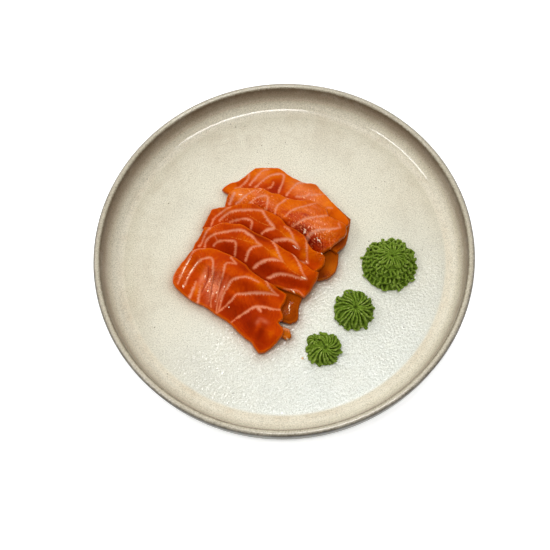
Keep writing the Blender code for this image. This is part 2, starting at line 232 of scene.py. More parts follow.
# Fat seams: widths at even shares of the length, and the line that they follow, from its pointed end.
SEAMS = {
    "slice_1": [
        ((1.0, 1.3, 1.2), [(-41, -21), (-45, -24.5), (-46.5, -32), (-45.5, -40.5), (-44.5, -46.5)]),
        ((0.6, 1.0, 0.8), [(-48.5, -29.5), (-50, -35.5), (-50, -40.5), (-48.5, -46)]),
        ((1.2, 1.3, 1.5, 1.3, 0.8), [(-40.5, -45), (-41.5, -36), (-40, -29.5), (-37.5, -27), (-34.5, -24),
                                     (-32, -26), (-30, -29.5), (-28, -33), (-25, -42), (-20, -49.5)]),
        ((0.8, 1.9, 2.0), [(-35.5, -40.5), (-34.5, -46.5), (-34, -50.5)]),
        ((0.6, 1.5, 1.8), [(-32, -41.5), (-30, -46), (-28, -51)]),
        ((1.4, 1.0), [(-23, -20), (-18.5, -22)]),
        ((0.8, 1.5, 1.2, 0.9), [(-18.5, -22), (-23, -23.5), (-24, -25.5), (-22.5, -29), (-22, -32.5),
                                (-22, -36.5), (-20, -42), (-15.5, -51)]),
        ((0.8, 1.6, 1.3, 0.9), [(-1.5, -25.5), (-5.5, -25.5), (-9, -26), (-12, -28), (-16, -31.5),
                                (-16.5, -34.5), (-17, -41), (-15, -49)]),
        ((0.8, 1.2, 1.2), [(11.5, -26), (7, -25.5), (3.5, -24), (1, -22)]),
        ((0.8, 1.7, 1.6, 1.1, 0.7), [(11.5, -26), (7.5, -27.5), (3, -29.5), (-1, -31.5), (-7, -35),
                                     (-10, -36.5), (-10.5, -39.5), (-12.5, -44), (-15, -51)]),
        ((0.7, 1.6, 1.8, 1.2, 0.6), [(16.5, -33), (13, -34.5), (9, -35.5), (5, -37), (2.5, -39),
                                     (1, -41.5), (-3, -47), (-5, -52)]),
        ((2.6, 1.0), [(5.5, -38), (7.5, -39)]),
    ],
    "slice_2": [
        ((1.2, 1.3, 1.1), [(-38, 0), (-43.5, -5), (-45.5, -12.5), (-45.5, -20)]),
        ((1.0, 1.8, 1.6, 1.4, 1.2), [(-11, -5.5), (-14.5, -5), (-17.5, -3.5), (-21.5, -3), (-25.5, -2.5),
                                     (-33, -5), (-39.5, -10), (-43.5, -15.5), (-42.5, -19)]),
        ((1.0, 1.7, 1.5), [(-11, -5.5), (-15, -8.5), (-16, -11.5), (-15.5, -16.5)]),
        ((1.1, 1.4, 1.2), [(-38, -16), (-36.5, -13.5), (-33.5, -11.5), (-30.5, -10.5), (-28, -9.5),
                           (-25.5, -10.5), (-23.5, -15), (-23, -16.5)]),
        ((1.0, 1.5, 1.3), [(4.5, -8), (2, -6.5), (-0.5, -4.5), (-3, -2.5), (-7.5, 0.5)]),
        ((1.0, 2.0, 1.9), [(4.5, -8), (-1, -9.5), (-4, -11.5), (-6.5, -14), (-8.5, -16.5), (-9, -18)]),
        ((0.7, 1.3, 1.2), [(21.5, -10.5), (18.5, -9), (13, -4.5), (7.5, -1)]),
        ((0.7, 1.5, 1.7), [(21.5, -10.5), (19, -11.5), (12, -13), (8.5, -14), (5, -15.5), (1, -19.5)]),
        ((0.6, 0.5), [(-39.5, -11.5), (-36.5, -13.5)]),
        ((0.6, 0.6, 0.4), [(25, -19.5), (20, -18), (15.5, -19.5), (12, -21)]),
    ],
    "slice_3": [
        ((1.1, 1.2, 1.0), [(-41, 8.5), (-43.5, 5.5), (-47, 0.5), (-46.5, -5.5)]),
        ((1.4, 1.6, 1.4), [(-21, 13.5), (-28, 11.5), (-36.5, 8), (-42, 3), (-43.5, 0)]),
        ((1.4, 1.7, 2.0, 1.4), [(-21, 13.5), (-16.5, 10.5), (-9.5, 7.5), (-11.5, 6.5), (-13.5, 4.5),
                                (-15, 2)]),
        ((1.0, 1.4, 1.2), [(-37, 1.5), (-31, 5), (-26, 6), (-23.5, 5.5), (-22.5, 1.5)]),
        ((1.0, 1.3, 1.1), [(9, 3.5), (5, 5.5), (1.5, 8.5), (-2, 10.5), (-4.5, 10.5)]),
        ((1.0, 2.1, 1.7), [(9, 3.5), (5, 5.5), (1.5, 5.5), (-2, 4), (-6.5, 1.5)]),
        ((0.7, 1.3, 0.9), [(17, -0.5), (16, 0.5), (13.5, 4.5), (10.5, 9.5), (8, 12.5)]),
        ((0.7, 1.1, 1.0), [(17, -0.5), (13.5, -1.5), (9.5, -2.5)]),
    ],
    "slice_4": [
        ((1.6, 2.4, 1.6), [(-43.5, 18), (-43.5, 15), (-43.5, 12)]),
        ((1.2, 1.8, 1.6), [(-33.5, 26), (-36.5, 20.5), (-37.5, 17), (-39.5, 13.5)]),
        ((1.3, 1.6, 1.4), [(-32, 16.5), (-30, 21.5), (-27.5, 23.5), (-24.5, 24.5), (-22.5, 22.5),
                           (-20.5, 17)]),
        ((1.0, 1.5, 1.4), [(-11.5, 30), (-13, 28), (-15.5, 21.5), (-14.5, 16.5)]),
        ((1.0, 1.5, 1.3), [(3.5, 33), (-1, 28), (-6, 23), (-8, 17.5)]),
        ((0.8, 1.5, 1.8, 1.3), [(15.5, 30), (10, 25.5), (4, 20.5), (1, 16), (-0.5, 14.5)]),
        ((0.8, 1.2), [(24, 25.5), (22, 27.5)]),
        ((0.9, 1.9, 2.4, 2.0), [(24, 25.5), (19.5, 21.5), (13.5, 17.5), (10, 13.5), (10, 11.5)]),
    ],
    "slice_5": [
        ((1.3, 1.3, 1.2), [(-44, 36), (-42.5, 32.5), (-44, 25), (-46, 23)]),
        ((1.2, 1.7, 1.5), [(-34.5, 44), (-37.5, 41), (-39, 33), (-39.5, 29.5)]),
        ((1.3, 1.5, 1.4), [(-35.5, 29.5), (-33.5, 37), (-30.5, 42), (-25, 45.5), (-23.5, 43.5),
                           (-21, 33.5), (-20.5, 31.5)]),
        ((0.7, 1.1, 0.7), [(-27.5, 37.5), (-27, 34.5), (-29, 32.5)]),
        ((2.2, 1.6, 1.4), [(-11.5, 45), (-13.5, 43), (-15, 35), (-15.5, 32.5)]),
        ((0.9, 1.5, 1.3), [(4.5, 43.5), (-2, 39.5), (-7, 35.5), (-9.5, 34.5)]),
        ((0.7, 1.2), [(12.5, 37.5), (10, 36.5)]),
    ],
    "lower_slice_corner": [((1.6, 1.2), [(23, -40), (27, -40)])],
}

# Fine veins of fat across the muscle.
VEINS = {
    "slice_2": [[(-31.5, -8), (-23, -7.5), (-11, -5.5), (-7, -6), (4.5, -8), (12.5, -10.5), (21.5, -10.5)]],
    "slice_3": [[(-28.5, 8.5), (-19, 7), (-7, 7.5), (5, 4.5)]],
}
VEIN_WIDTH = 0.45

# Where the knife or the fingers have opened the muscle. The dark inside of each opening is painted shade.
GASHES = {
    "slice_1": [
        [(-33, -30), (-31, -34), (-30, -38), (-29.5, -44)],
        [(-28, -31.5), (-26.5, -37), (-24.5, -42), (-22, -47.5)],
        [(-22, -32.5), (-21, -37), (-19.5, -42), (-17, -50)],
    ],
}
GASH_DEPTH = 0.05
GASH_WIDTH = 0.35

# Painted highlights on beads and threads of moisture: width, and the line that they follow.
SHINES = {
    "slice_1": [
        (0.45, [(-45.4, -29), (-46.2, -34), (-45.3, -41)]),
        (0.45, [(-40.4, -30), (-41.6, -35), (-41.3, -42)]),
        (0.8, [(-41.5, -45.5), (-39.5, -47.5)]), (0.5, [(-19.9, -44.8), (-19.3, -45.3)]),
        (0.4, [(-16.9, -43.3), (-16.6, -43.8)]), (0.4, [(-10.8, -44.7), (-10.5, -44.9)]),
        (0.4, [(-32.6, -34.5), (-32.2, -36.2)]), (0.4, [(-29.0, -35.0), (-28.8, -37.0)]),
        (0.4, [(-23.8, -40.5), (-22.9, -42.4)]), (0.35, [(-21.7, -39.6), (-21.5, -41.0)]),
        (0.35, [(-18.5, -35.0), (-18.6, -37.5)]), (0.35, [(-26.9, -41.0), (-26.5, -42.5)]),
    ],
    "slice_2": [(0.5, [(15.8, -19.2), (18.8, -19.8)]), (0.4, [(18, -10.8), (21, -10.6)])],
    "slice_3": [
        (0.5, [(20.6, 8.6), (22, 7.2)]), (0.4, [(5, 3.4), (8.2, 3.1)]), (0.4, [(15.2, 0.2), (17, -0.6)]),
    ],
    "slice_4": [
        (0.9, [(6.0, 15), (7.8, 13.6)]), (0.8, [(6.6, 13.2), (7.4, 14.8)]),
        (0.9, [(14.8, 14.2), (17.8, 13.0)]), (0.8, [(15.8, 14.6), (16.4, 12.2)]),
        (0.4, [(-41, 18.5), (-38.5, 19.5)]),
    ],
    "slice_5": [(0.5, [(-45.5, 21), (-42, 22)])],
    "lower_slice_front": [(0.6, [(18.8, -25.5), (19.8, -29)]), (0.5, [(20.3, -28.5), (21.4, -31.5)])],
    "lower_slice_corner": [(0.8, [(27.2, -44.6), (28.6, -45.0)])],
}

# Oval patches of the muscle: centre, radius along and across, and strength. They are wet, painted sheen, or
# lighter and darker.
WET = {
    "slice_1": [((-27, -38), (7, 9), 0.95), ((-45, -40), (4, 7), 0.75), ((9, -36), (6, 2), 0.4),
                ((-40, -27), (3, 4), 0.5), ((12, -46), (3, 3), 0.3)],
    "slice_2": [((-40, -8), (5, 6), 0.5), ((17.5, -20), (3, 2), 0.8), ((21, -11), (2, 1.5), 0.5)],
    "slice_3": [((-39, 3), (6, 5), 0.7), ((22, 6), (3, 3), 0.8), ((8, 4), (3, 1.5), 0.5)],
    "slice_4": [((-30, 20), (22, 12), 0.75), ((10, 17), (16, 12), 1.0)],
    "slice_5": [((-3, 38), (11, 6), 0.9), ((-38, 30), (12, 10), 0.35), ((10, 31), (5, 6), 0.3)],
    "lower_slice_front": [((19.5, -29), (2.5, 6), 1.0)],
    "lower_slice_corner": [((26.5, -44.5), (1.5, 1.2), 0.9)],
    "lower_slice_middle": [((30, 0), (3, 6), 0.6)],
}
PAINTED_SHEENS = {
    "slice_1": [((-33.2, -36), (1.6, 5), 0.9), ((-28.9, -37), (1.3, 6), 1.0), ((-25.0, -38), (1.6, 6), 1.0),
                ((-22.8, -41), (1.2, 6), 1.0), ((-18.6, -40), (1.4, 6), 0.9), ((12, -43), (2.5, 1.2), 0.35),
                ((9, -45), (1.1, 2), 0.3)],
    "slice_4": [((8, 20), (12, 6), 0.12), ((-30, 23.5), (6, 1.3), 0.45), ((-40, 19.5), (3, 3), 0.35),
                ((-18.5, 20.5), (3, 2), 0.3), ((2.5, 26.5), (4, 1.2), 0.45), ((4.5, 30.5), (4, 1.0), 0.4),
                ((11.5, 22.5), (5, 1.3), 0.5), ((15, 18.5), (4, 1.0), 0.35)],
    "slice_5": [((-3, 38), (10, 5), 0.2), ((-36, 38.5), (3, 5), 0.3), ((-11.5, 40.5), (4, 4), 0.45),
                ((-3, 40), (4, 2), 0.45), ((1, 36.5), (4, 1.5), 0.35)],
    "lower_slice_corner": [((24.5, -40.5), (1.5, 1.2), 0.9)],
}
TONES = {
    "slice_1": [((6, -47), (9, 7), -0.20), ((-8, -21.5), (14, 3), -0.30), ((-41, -26), (6, 5), -0.04),
                ((-30, -21), (9, 3), -0.06), ((17, -55), (5, 4), -0.16), ((18.5, -48), (3, 4), 0.2),
                ((13.4, -49.2), (1.4, 4.5), -0.14), ((10.4, -47.5), (1.6, 4.5), 0.2),
                ((-10, -46), (9, 5), -0.20), ((4, -33), (9, 2.5), -0.2), ((3, -26.5), (5, 1.6), 0.14),
                ((13.5, -26), (4, 3), -0.2), ((-9, -30), (7, 2.5), -0.12), ((-6, -24.5), (5, 1.5), 0.2),
                ((9, -37.5), (8, 2.5), -0.15), ((-32, -45), (3, 4), 0.2), ((-46, -38), (5, 8), 0.14),
                ((-34, -36), (3, 8), 0.1)],
    "slice_2": [((18, -15), (9, 2.5), -0.12), ((12, -8.5), (6, 2.6), 0.22), ((-1, -6.5), (5, 2.2), 0.28),
                ((-4, -14.5), (6, 3), -0.10), ((-20, -6.5), (6, 2.5), 0.15), ((22, -17.5), (5, 2), 0.2),
                ((-15.5, -1.6), (9, 2), -0.45), ((13, -1.7), (7, 2), -0.3), ((-36, -4), (6, 2.5), -0.12),
                ((-32, -12), (4, 2.5), -0.1)],
    "slice_3": [((20, 3), (5, 5), 0.05), ((2, 7), (5, 1.8), 0.28), ((13, 2), (3, 3), 0.2),
                ((2, 1.5), (7, 2.5), -0.12), ((-14, 2), (6, 3), -0.10), ((1, 12), (7, 1.8), -0.35),
                ((-25, 14.5), (8, 1.6), -0.15)],
    "slice_4": [((0, 20), (24, 10), 0.26), ((-38, 18), (10, 8), 0.22), ((20, 17), (5, 5), 0.15),
                ((5, 15), (5, 2.5), -0.25), ((15, 11.5), (5, 2), -0.2),
                ((-6, 20), (6, 2), -0.2), ((3, 22.5), (6, 1.2), -0.2), ((-25, 19.5), (5, 1.5), -0.15)],
    "slice_5": [((-20, 38), (30, 10), 0.24), ((-48, 21), (8, 6), 0.45), ((10, 38), (10, 8), 0.1),
                ((-24, 36), (4, 5), -0.35)],
    "lower_slice_middle": [((31, 5), (4, 4), 0.25), ((26, -3), (5, 4), -0.45)],
    "lower_slice_front": [((25, -30), (3, 8), -0.15), ((20, -37), (6, 2), -0.3)],
    "lower_slice_corner": [((27, -43), (4, 4), 0.5)],
}

# The wasabi. A rosette's centre on the plate is in metres, and all else in mm from there or in degrees.
# Lean is how far its top leans over. A tier is a row of piped ridges, whose line gives the radius and height
# from the inner end of a ridge to its outer one. Along it a ridge turns by swirl, and bends by waver, waves
# times. Its end turns aside by hook, lifts by curl, and differs in length by ragged. Deep is how far a ridge
# stands up. Start turns the tier, a sector limits it to one side, and a centre of its own moves it.
ROSETTES = {
    "wasabi_large": {
        "centre": (0.0610, -0.0137), "lean": (1.3, 1.0),
        "tiers": [
            {"line": [(0.8, 12.6), (2.2, 13.3), (4.4, 13.6), (6.2, 12.8), (7.6, 11.9), (8.5, 11.9)],
             "ridges": 24, "swirl": 6, "waver": 0.35, "waves": 1.2, "hook": 12, "ragged": 0.11,
             "curl": 3.0, "deep": 0.85},
            {"line": [(6.0, 10.0), (8.4, 9.9), (10.2, 8.9), (11.2, 8.3), (11.8, 8.5)],
             "ridges": 26, "swirl": 3, "waver": 0.63, "waves": 1.3, "hook": 12, "ragged": 0.1,
             "curl": 4.0, "deep": 1.0, "start": 5},
            {"line": [(9.4, 6.7), (11.4, 6.5), (12.9, 5.3), (13.8, 4.9), (14.3, 5.2)],
             "ridges": 29, "swirl": -3, "waver": 0.63, "waves": 1.3, "hook": 12, "ragged": 0.08,
             "curl": 4.0, "deep": 1.0},
            {"line": [(12.0, 3.4), (13.8, 3.2), (15.2, 2.2), (15.9, 1.4), (16.2, 1.0)],
             "ridges": 33, "swirl": 3, "waver": 0.56, "waves": 1.1, "hook": 12, "ragged": 0.06,
             "curl": 2.0, "deep": 0.95, "start": 4},
        ],
    },
    "wasabi_medium": {
        "centre": (0.0367, -0.0393), "lean": (1.1, -0.6),
        "tiers": [
            {"line": [(0.9, 7.8), (2.5, 8.4), (5.0, 8.2), (7.5, 6.9), (9.6, 4.9), (10.8, 3.3), (11.5, 2.6)],
             "ridges": 22, "swirl": 12, "waver": 0.63, "waves": 1.3, "hook": 7, "ragged": 0.07,
             "curl": 2.5, "deep": 1.2},
            {"line": [(8.0, 2.9), (9.8, 2.6), (11.2, 1.6), (11.6, 0.6)],
             "ridges": 24, "swirl": 4, "waver": 0.4, "waves": 1.0, "hook": 9, "ragged": 0.07,
             "curl": 1.0, "deep": 0.9, "start": 7},
        ],
    },
    "wasabi_small": {
        "centre": (0.0165, -0.0602), "lean": (1.4, -1.0),
        "tiers": [
            {"line": [(0.7, 6.7), (2.0, 7.1), (4.2, 6.8), (6.2, 5.6), (7.9, 3.9), (8.9, 2.6), (9.5, 2.0)],
             "ridges": 20, "swirl": 38, "waver": 0.45, "waves": 1.1, "hook": 6, "ragged": 0.07,
             "curl": 2.0, "deep": 1.0, "sector": (150, 456)},
            {"line": [(6.4, 2.6), (7.9, 2.4), (9.1, 1.4), (9.4, 0.5)],
             "ridges": 22, "swirl": 8, "waver": 0.35, "waves": 1.0, "hook": 8, "ragged": 0.07,
             "curl": 1.0, "deep": 0.8, "sector": (160, 450)},
            {"line": [(0.8, 3.6), (1.5, 4.6), (2.4, 4.4), (3.1, 3.0), (3.4, 1.0)],
             "ridges": 9, "swirl": 40, "waver": 0.23, "waves": 0.8, "hook": 4, "ragged": 0.11,
             "curl": 0.5, "deep": 0.75, "centre": (-4.9, 5.3)},
        ],
    },
}
STRAND_STEPS = 26
STRAND_SIDES = 10
NOTCH = 0.8  # the core's share of its radius where a tier has no ridges
RIDGE_SHARE = 0.37  # a ridge's half width as a share of the distance between ridges
RIDGE_WIDEST = 0.75
RIDGE_PLAY = (-0.18, 0.18)  # how far a ridge is off its even place, as a share of the distance to the next
RIDGE_SIZES = (0.82, 1.18)
WAVER_RANGE = (0.7, 1.3)
LIFT_PLAY = 0.25
HOOK_START = 0.6  # shares of a ridge's length, where its end starts to turn aside and to lift
CURL_START = 0.8
KNOB_SWELL = 0.35  # how much a ridge swells near its end, and where
KNOB_PLACE = 0.88
KNOB_LENGTH = 0.10
TIP_START = 0.90
TIP_LENGTH = 0.10
CORE_SIDES = 72
CORE_DEPTH = 0.55  # how deep the core lies under the ridges, as a share of their depth
CORE_LEAST = 0.3
PASTE_GRAIN = 0.22  # size of the squares that the melted skin is made of
PASTE_LUMPS = ((1.3, 0.24), (0.6, 0.13))  # size and height of the paste's own roughness
RIDGE_ROUNDS = 24  # rounds of smoothing that ridges stand out from
RIDGE_HEIGHT = 0.9
ROSETTE_GAP = 0.0001

CRUMB_PLACE = (0.0045, -0.0640)
CRUMB_SIZE = 0.0006
CRUMB_LUMPS = 0.45
CRUMB_LUMP_SIZE = 0.6  # as a share of the crumb's radius
CRUMB_FLATNESS = 0.6
CRUMB_LIFT = 0.45

TABLE_SIZE = 4
TABLE_DROP = 0.0003

# The camera looks down on the plate from the front.
CAMERA_HEIGHT_ANGLE = math.radians(69.24)
CAMERA_ROLL = math.radians(-6.03)
CAMERA_DISTANCE = 0.450
CAMERA_AIM = Vector((-0.0061, -0.0181, 0.022))
CAMERA_LENS = 51.9
SENSOR_WIDTH = 36

# The light tubes over the plate: both ends, the width and the power.
STRIPS = {
    "front_strip": ((-0.14, -0.23, 1.0), (0.39, -0.17, 1.0), 0.15, 3.1),
    "left_strip": ((-0.59, -0.31, 1.0), (-0.80, 0.12, 1.0), 0.15, 2.8),
}

# The room's soft light: a little from all round, and glows in these directions, each with its spread in
# degrees and its strength.
ROOM_LIGHT = 0.13
GLOWS = [
    ((0.0, 0.0, 1.0), 25, 2.6),
    ((0.063, 0.201, 0.978), 5, 15.0),
    ((-0.54, 0.54, 0.64), 30, 1.4),
    ((0.0, 0.77, 0.64), 30, 1.25),
    ((0.54, 0.54, 0.64), 30, 0.88),
    ((-0.82, 0.0, 0.57), 30, 0.2),
    ((0.82, 0.0, 0.57), 30, 0.15),
    ((-0.58, -0.58, 0.57), 30, 0.3),
]

# ---------------------------------------------------------------- shader nodes


def colour(red, green, blue):
    """A screen colour from 0 to 255 as the shader's linear one."""
    def linear(value):
        share = value / 255
        return share / 12.92 if share <= 0.04045 else ((share + 0.055) / 1.055) ** 2.4
    return (linear(red), linear(green), linear(blue), 1.0)


class Nodes:
    """Adds nodes to one tree. What is put in an input is a value, or the output that it is linked to."""

    def __init__(self, tree):
        self.tree = tree
        self.place = None

    def add(self, kind, inputs, **settings):
        node = self.tree.nodes.new(kind)
        for name, value in settings.items():
            setattr(node, name, value)
        for name, value in inputs.items():
            self.put(node.inputs[name], value)
        return node

    def put(self, socket, value):
        if isinstance(value, bpy.types.NodeSocket):
            self.tree.links.new(value, socket)
        else:
            socket.default_value = value

    def where(self):
        """The point on the object, in metres."""
        if self.place is None:
            self.place = self.add("ShaderNodeTexCoord", {}).outputs["Object"]
        return self.place

    def attribute(self, name):
        return self.add("ShaderNodeAttribute", {}, attribute_name=name).outputs["Fac"]

    def math(self, operation, a, b=0.0):
        return self.add("ShaderNodeMath", {0: a, 1: b}, operation=operation).outputs[0]

    def times(self, a, b):
        return self.math("MULTIPLY", a, b)

    def plus(self, a, b):
        return self.math("ADD", a, b)

    def centred(self, value):
        """A value around a half as one around nought, so that it pushes both ways."""
        return self.math("SUBTRACT", value, 0.5)

    def span(self, value, low, high, to_low=0.0, to_high=1.0, shape="SMOOTHSTEP"):
        """The value carried from low..high to to_low..to_high, and held beyond them."""
        inputs = {"Value": value, "From Min": low, "From Max": high, "To Min": to_low, "To Max": to_high}
        return self.add("ShaderNodeMapRange", inputs, interpolation_type=shape).outputs["Result"]

    def mix(self, share, a, b, blend="MIX"):
        inputs = {0: share, 6: a, 7: b}
        return self.add("ShaderNodeMix", inputs, data_type="RGBA", blend_type=blend).outputs[2]

    def noise(self, vector, scale, detail=2.0, roughness=0.5):
        inputs = {"Vector": vector, "Scale": scale, "Detail": detail, "Roughness": roughness}
        return self.add("ShaderNodeTexNoise", inputs).outputs["Fac"]

    def ramp(self, value, stops, shape="LINEAR"):
        node = self.add("ShaderNodeValToRGB", {"Fac": value})
        node.color_ramp.interpolation = shape
        marks = node.color_ramp.elements
        while len(marks) < len(stops):
            marks.new(0.5)
        for mark, (position, shade) in zip(marks, stops):
            mark.position = position
            mark.color = shade
        return node.outputs["Color"]

    def bump(self, height, strength, distance, below=None):
        inputs = {"Height": height, "Strength": strength, "Distance": distance}
        if below is not None:
            inputs["Normal"] = below
        return self.add("ShaderNodeBump", inputs).outputs["Normal"]

    def use(self, group, **inputs):
        node = self.tree.nodes.new("ShaderNodeGroup")
        node.node_tree = group
        for name, value in inputs.items():
            self.put(node.inputs[name], value)
        return node.outputs[0]


def new_group(name, inputs, output):
    """A node group with these inputs and one value as its output: its nodes, its inputs, and its end."""
    tree = bpy.data.node_groups.new(name, "ShaderNodeTree")
    for socket, value in inputs.items():
        kind = "NodeSocketVector" if value is None else "NodeSocketFloat"
        made = tree.interface.new_socket(socket, in_out="INPUT", socket_type=kind)
        if value is not None:
            made.default_value = value
    tree.interface.new_socket(output, in_out="OUTPUT", socket_type="NodeSocketFloat")
    given = tree.nodes.new("NodeGroupInput").outputs
    end = tree.nodes.new("NodeGroupOutput").inputs[output]
    return tree, Nodes(tree), given, end


def mottle_group():
    """Soft blotches of two sizes, from 0 to 1."""
    tree, nodes, given, end = new_group("mottle", {"Place": None, "Scale": 60.0, "Contrast": 1.0}, "Blotch")
    wide = nodes.noise(given["Place"], given["Scale"], detail=3.0, roughness=0.6)
    fine = nodes.noise(given["Place"], nodes.times(given["Scale"], 4.3), detail=2.0)
    both = nodes.plus(nodes.times(wide, 0.7), nodes.times(fine, 0.3))
    spread = nodes.times(nodes.centred(both), nodes.times(given["Contrast"], 2.4))
    nodes.put(end, nodes.span(nodes.plus(spread, 0.5), 0.0, 1.0, shape="LINEAR"))
    return tree


def speckle_group():
    """Round specks in some of the cells of a cell pattern: 1 in a speck and 0 around it."""
    inputs = {"Place": None, "Scale": 900.0, "Size": 0.3, "Share": 0.2}
    tree, nodes, given, end = new_group("speckle", inputs, "Speck")
    cells = nodes.add("ShaderNodeTexVoronoi", {"Vector": given["Place"], "Scale": given["Scale"]})
    pick = nodes.add("ShaderNodeSeparateColor", {"Color": cells.outputs["Color"]})
    chosen = nodes.math("LESS_THAN", pick.outputs[0], given["Share"])
    size = nodes.times(given["Size"], nodes.plus(nodes.times(pick.outputs[1], 0.8), 0.35))
    inner = nodes.times(size, 0.5)
    dot = nodes.span(cells.outputs["Distance"], inner, size, 1.0, 0.0)
    nodes.put(end, nodes.times(chosen, dot))
    return tree


def grain_group():
    """Fine bumps of even size, for the height of a bump."""
    tree, nodes, given, end = new_group("grain", {"Place": None, "Scale": 700.0, "Detail": 2.0}, "Height")
    nodes.put(end, nodes.noise(given["Place"], given["Scale"], detail=given["Detail"]))
    return tree


def fibre_group():
    """Streaks that run away from a line: Along is the distance down the line and Across from it, in mm."""
    inputs = {"Along": 0.0, "Across": 0.0, "Pitch": 0.8, "Length": 4.0}
    tree, nodes, given, end = new_group("fibre", inputs, "Streak")
    x = nodes.math("DIVIDE", given["Along"], given["Pitch"])
    y = nodes.math("DIVIDE", given["Across"], given["Length"])
    vector = nodes.add("ShaderNodeCombineXYZ", {"X": x, "Y": y}).outputs[0]
    nodes.put(end, nodes.noise(vector, 1.0, detail=2.0))
    return tree


def new_material(name, **constants):
    """A material with its Principled shader, whose constants are set on its own sockets."""
    made = bpy.data.materials.new(name)
    made.use_nodes = True
    shader = made.node_tree.nodes["Principled BSDF"]
    for socket, value in constants.items():
        shader.inputs[socket.replace("_", " ")].default_value = value
    return made, Nodes(made.node_tree), shader


# ---------------------------------------------------------------- finishes


def glaze_stops():
    """The glaze's colour along the section: cream on the floor, brown where it thins at the rim."""
    stops = [
        (60.0, (217, 213, 194)),
        (86.0, (211, 205, 185)),
        (94.0, (203, 196, 174)),
        (98.0, (209, 201, 180)),
        (101.0, (214, 207, 186)),
        (103.0, (212, 204, 183)),
        (105.0, (201, 193, 170)),
        (107.0, (185, 172, 152)),
        (109.0, (162, 148, 127)),
        (112.0, (142, 124, 103)),
        (WALL_END - 1.0, (117, 98, 76)),
        (WALL_END + 0.6, (95, 78, 56)),
        (WALL_END + 2.1, (190, 182, 160)),
        (RIM_TOP, (184, 175, 155)),
        (RIM_TOP + 0.7, (163, 155, 138)),
        (RIM_TOP + 1.9, (62, 54, 42)),
        (RIM_END - 0.6, (78, 73, 62)),
        (RIM_END + 1.5, (124, 123, 115)),
        (RIM_END + 7.0, (140, 140, 133)),
    ]
    low, high = RUN_RANGE
    return [((run - low) / (high - low), colour(*shade)) for run, shade in stops]


def pale_glaze_and_sheen_share(nodes, where, run, blotch):
    """How far the glaze is paler, partly whiter glaze and partly painted sheen: more toward the front right
    of the floor, in soft clouds.
    """
    lean = nodes.add("ShaderNodeVectorMath", {0: where, 1: PALE_GLAZE_AND_SHEEN_WAY}, operation="DOT_PRODUCT")
    front = nodes.span(lean.outputs["Value"], -5.0, 92.0, shape="LINEAR")
    clouds = nodes.plus(front, nodes.times(nodes.centred(blotch), 0.45))
    return nodes.times(nodes.span(clouds, 0.0, 1.0, shape="LINEAR"), nodes.span(run, 94.5, 96.5, 1.0, 0.0))


def stoneware_material(groups):
    """Semi-gloss reactive glaze over speckled clay, with painted shadow beside the salmon and some painted
    sheen.
    """
    made, nodes, shader = new_material("speckled_stoneware", IOR=1.5)
    where = nodes.where()
    run = nodes.attribute("run")
    drift = nodes.centred(nodes.noise(where, 90.0, detail=3.0, roughness=0.65))
    fray = nodes.centred(nodes.noise(where, 650.0, detail=2.0, roughness=0.7))
    pull = nodes.span(run, FLOOR_END, WALL_END - 3.0, 3.4, 0.4)
    warped = nodes.plus(nodes.plus(run, nodes.times(drift, pull)), nodes.times(fray, 1.6))
    glaze = nodes.ramp(nodes.span(warped, *RUN_RANGE, shape="LINEAR"), glaze_stops())

    blotch = nodes.use(groups["mottle"], Place=where, Scale=45.0, Contrast=0.8)
    edge_zone = nodes.times(nodes.span(run, 55.0, 92.0), nodes.span(run, 97.0, 103.0, 1.0, 0.0))
    stain = nodes.times(edge_zone, nodes.span(blotch, 0.40, 0.85))
    glaze = nodes.mix(nodes.times(stain, 0.42), glaze, colour(182, 163, 132))
    glaze = nodes.mix(nodes.span(blotch, 0.15, 0.6, 0.10, 0.0), glaze, colour(238, 234, 218))

    pale_glaze_and_sheen = pale_glaze_and_sheen_share(nodes, where, run, blotch)
    # Partly whiter glaze and partly painted sheen: the floor is mixed toward a pale, cool grey-white.
    glaze = nodes.mix(nodes.times(pale_glaze_and_sheen, 0.85), glaze, colour(205, 210, 203))
    fine = nodes.noise(where, 1500.0, detail=2.0, roughness=0.7)
    glaze = nodes.mix(1.0, glaze, nodes.ramp(fine, [(0.30, (0.66, 0.65, 0.61, 1)), (0.5, (1, 1, 1, 1)),
                                                     (0.70, (1.20, 1.20, 1.22, 1))]), blend="MULTIPLY")
    dust = nodes.use(groups["speckle"], Place=where, Scale=1100.0, Size=0.42, Share=0.16)
    glaze = nodes.mix(nodes.times(dust, 0.38), glaze, colour(120, 102, 78))
    iron = nodes.use(groups["speckle"], Place=where, Scale=330.0, Size=0.16, Share=0.10)
    glaze = nodes.mix(nodes.times(iron, 0.8), glaze, colour(74, 56, 38))
    rim_zone = nodes.span(run, WALL_END - 2.5, WALL_END + 1.0)
    rim_specks = nodes.use(groups["speckle"], Place=where, Scale=1300.0, Size=0.5, Share=0.22)
    glaze = nodes.mix(nodes.times(nodes.times(rim_specks, rim_zone), 0.35), glaze, colour(84, 70, 54))
    # Painted shadow beside the salmon, tinted pink by the light it throws back.
    juice = nodes.times(nodes.attribute("juice"), nodes.span(blotch, 0.0, 1.0, 0.85, 1.1, shape="LINEAR"))
    glaze = nodes.mix(juice, glaze, PILE_SHADOW_TINT, blend="MULTIPLY")
    nodes.put(shader.inputs["Base Color"], glaze)

    gloss = nodes.span(blotch, 0.2, 0.8, 0.06, 0.10, shape="LINEAR")
    dull = nodes.span(run, RIM_TOP, RIM_END + 1.0, 0.0, 0.5)
    cove_foot = nodes.times(nodes.span(run, 94.8, 95.8, 0.0, 0.4), nodes.span(run, 98.6, 99.6, 1.0, 0.0))
    dull = nodes.plus(dull, cove_foot)
    nodes.put(shader.inputs["Roughness"], nodes.plus(gloss, dull))
    peel = nodes.use(groups["grain"], Place=where, Scale=650.0, Detail=1.0)
    height = nodes.times(peel, nodes.span(run, 93.0, 97.0, 1.0, 0.04))
    height = nodes.times(height, nodes.span(pale_glaze_and_sheen, 0.0, 0.7, 0.15, 1.0))
    nodes.put(shader.inputs["Normal"], nodes.bump(height, 0.6, 0.0005))
    return made


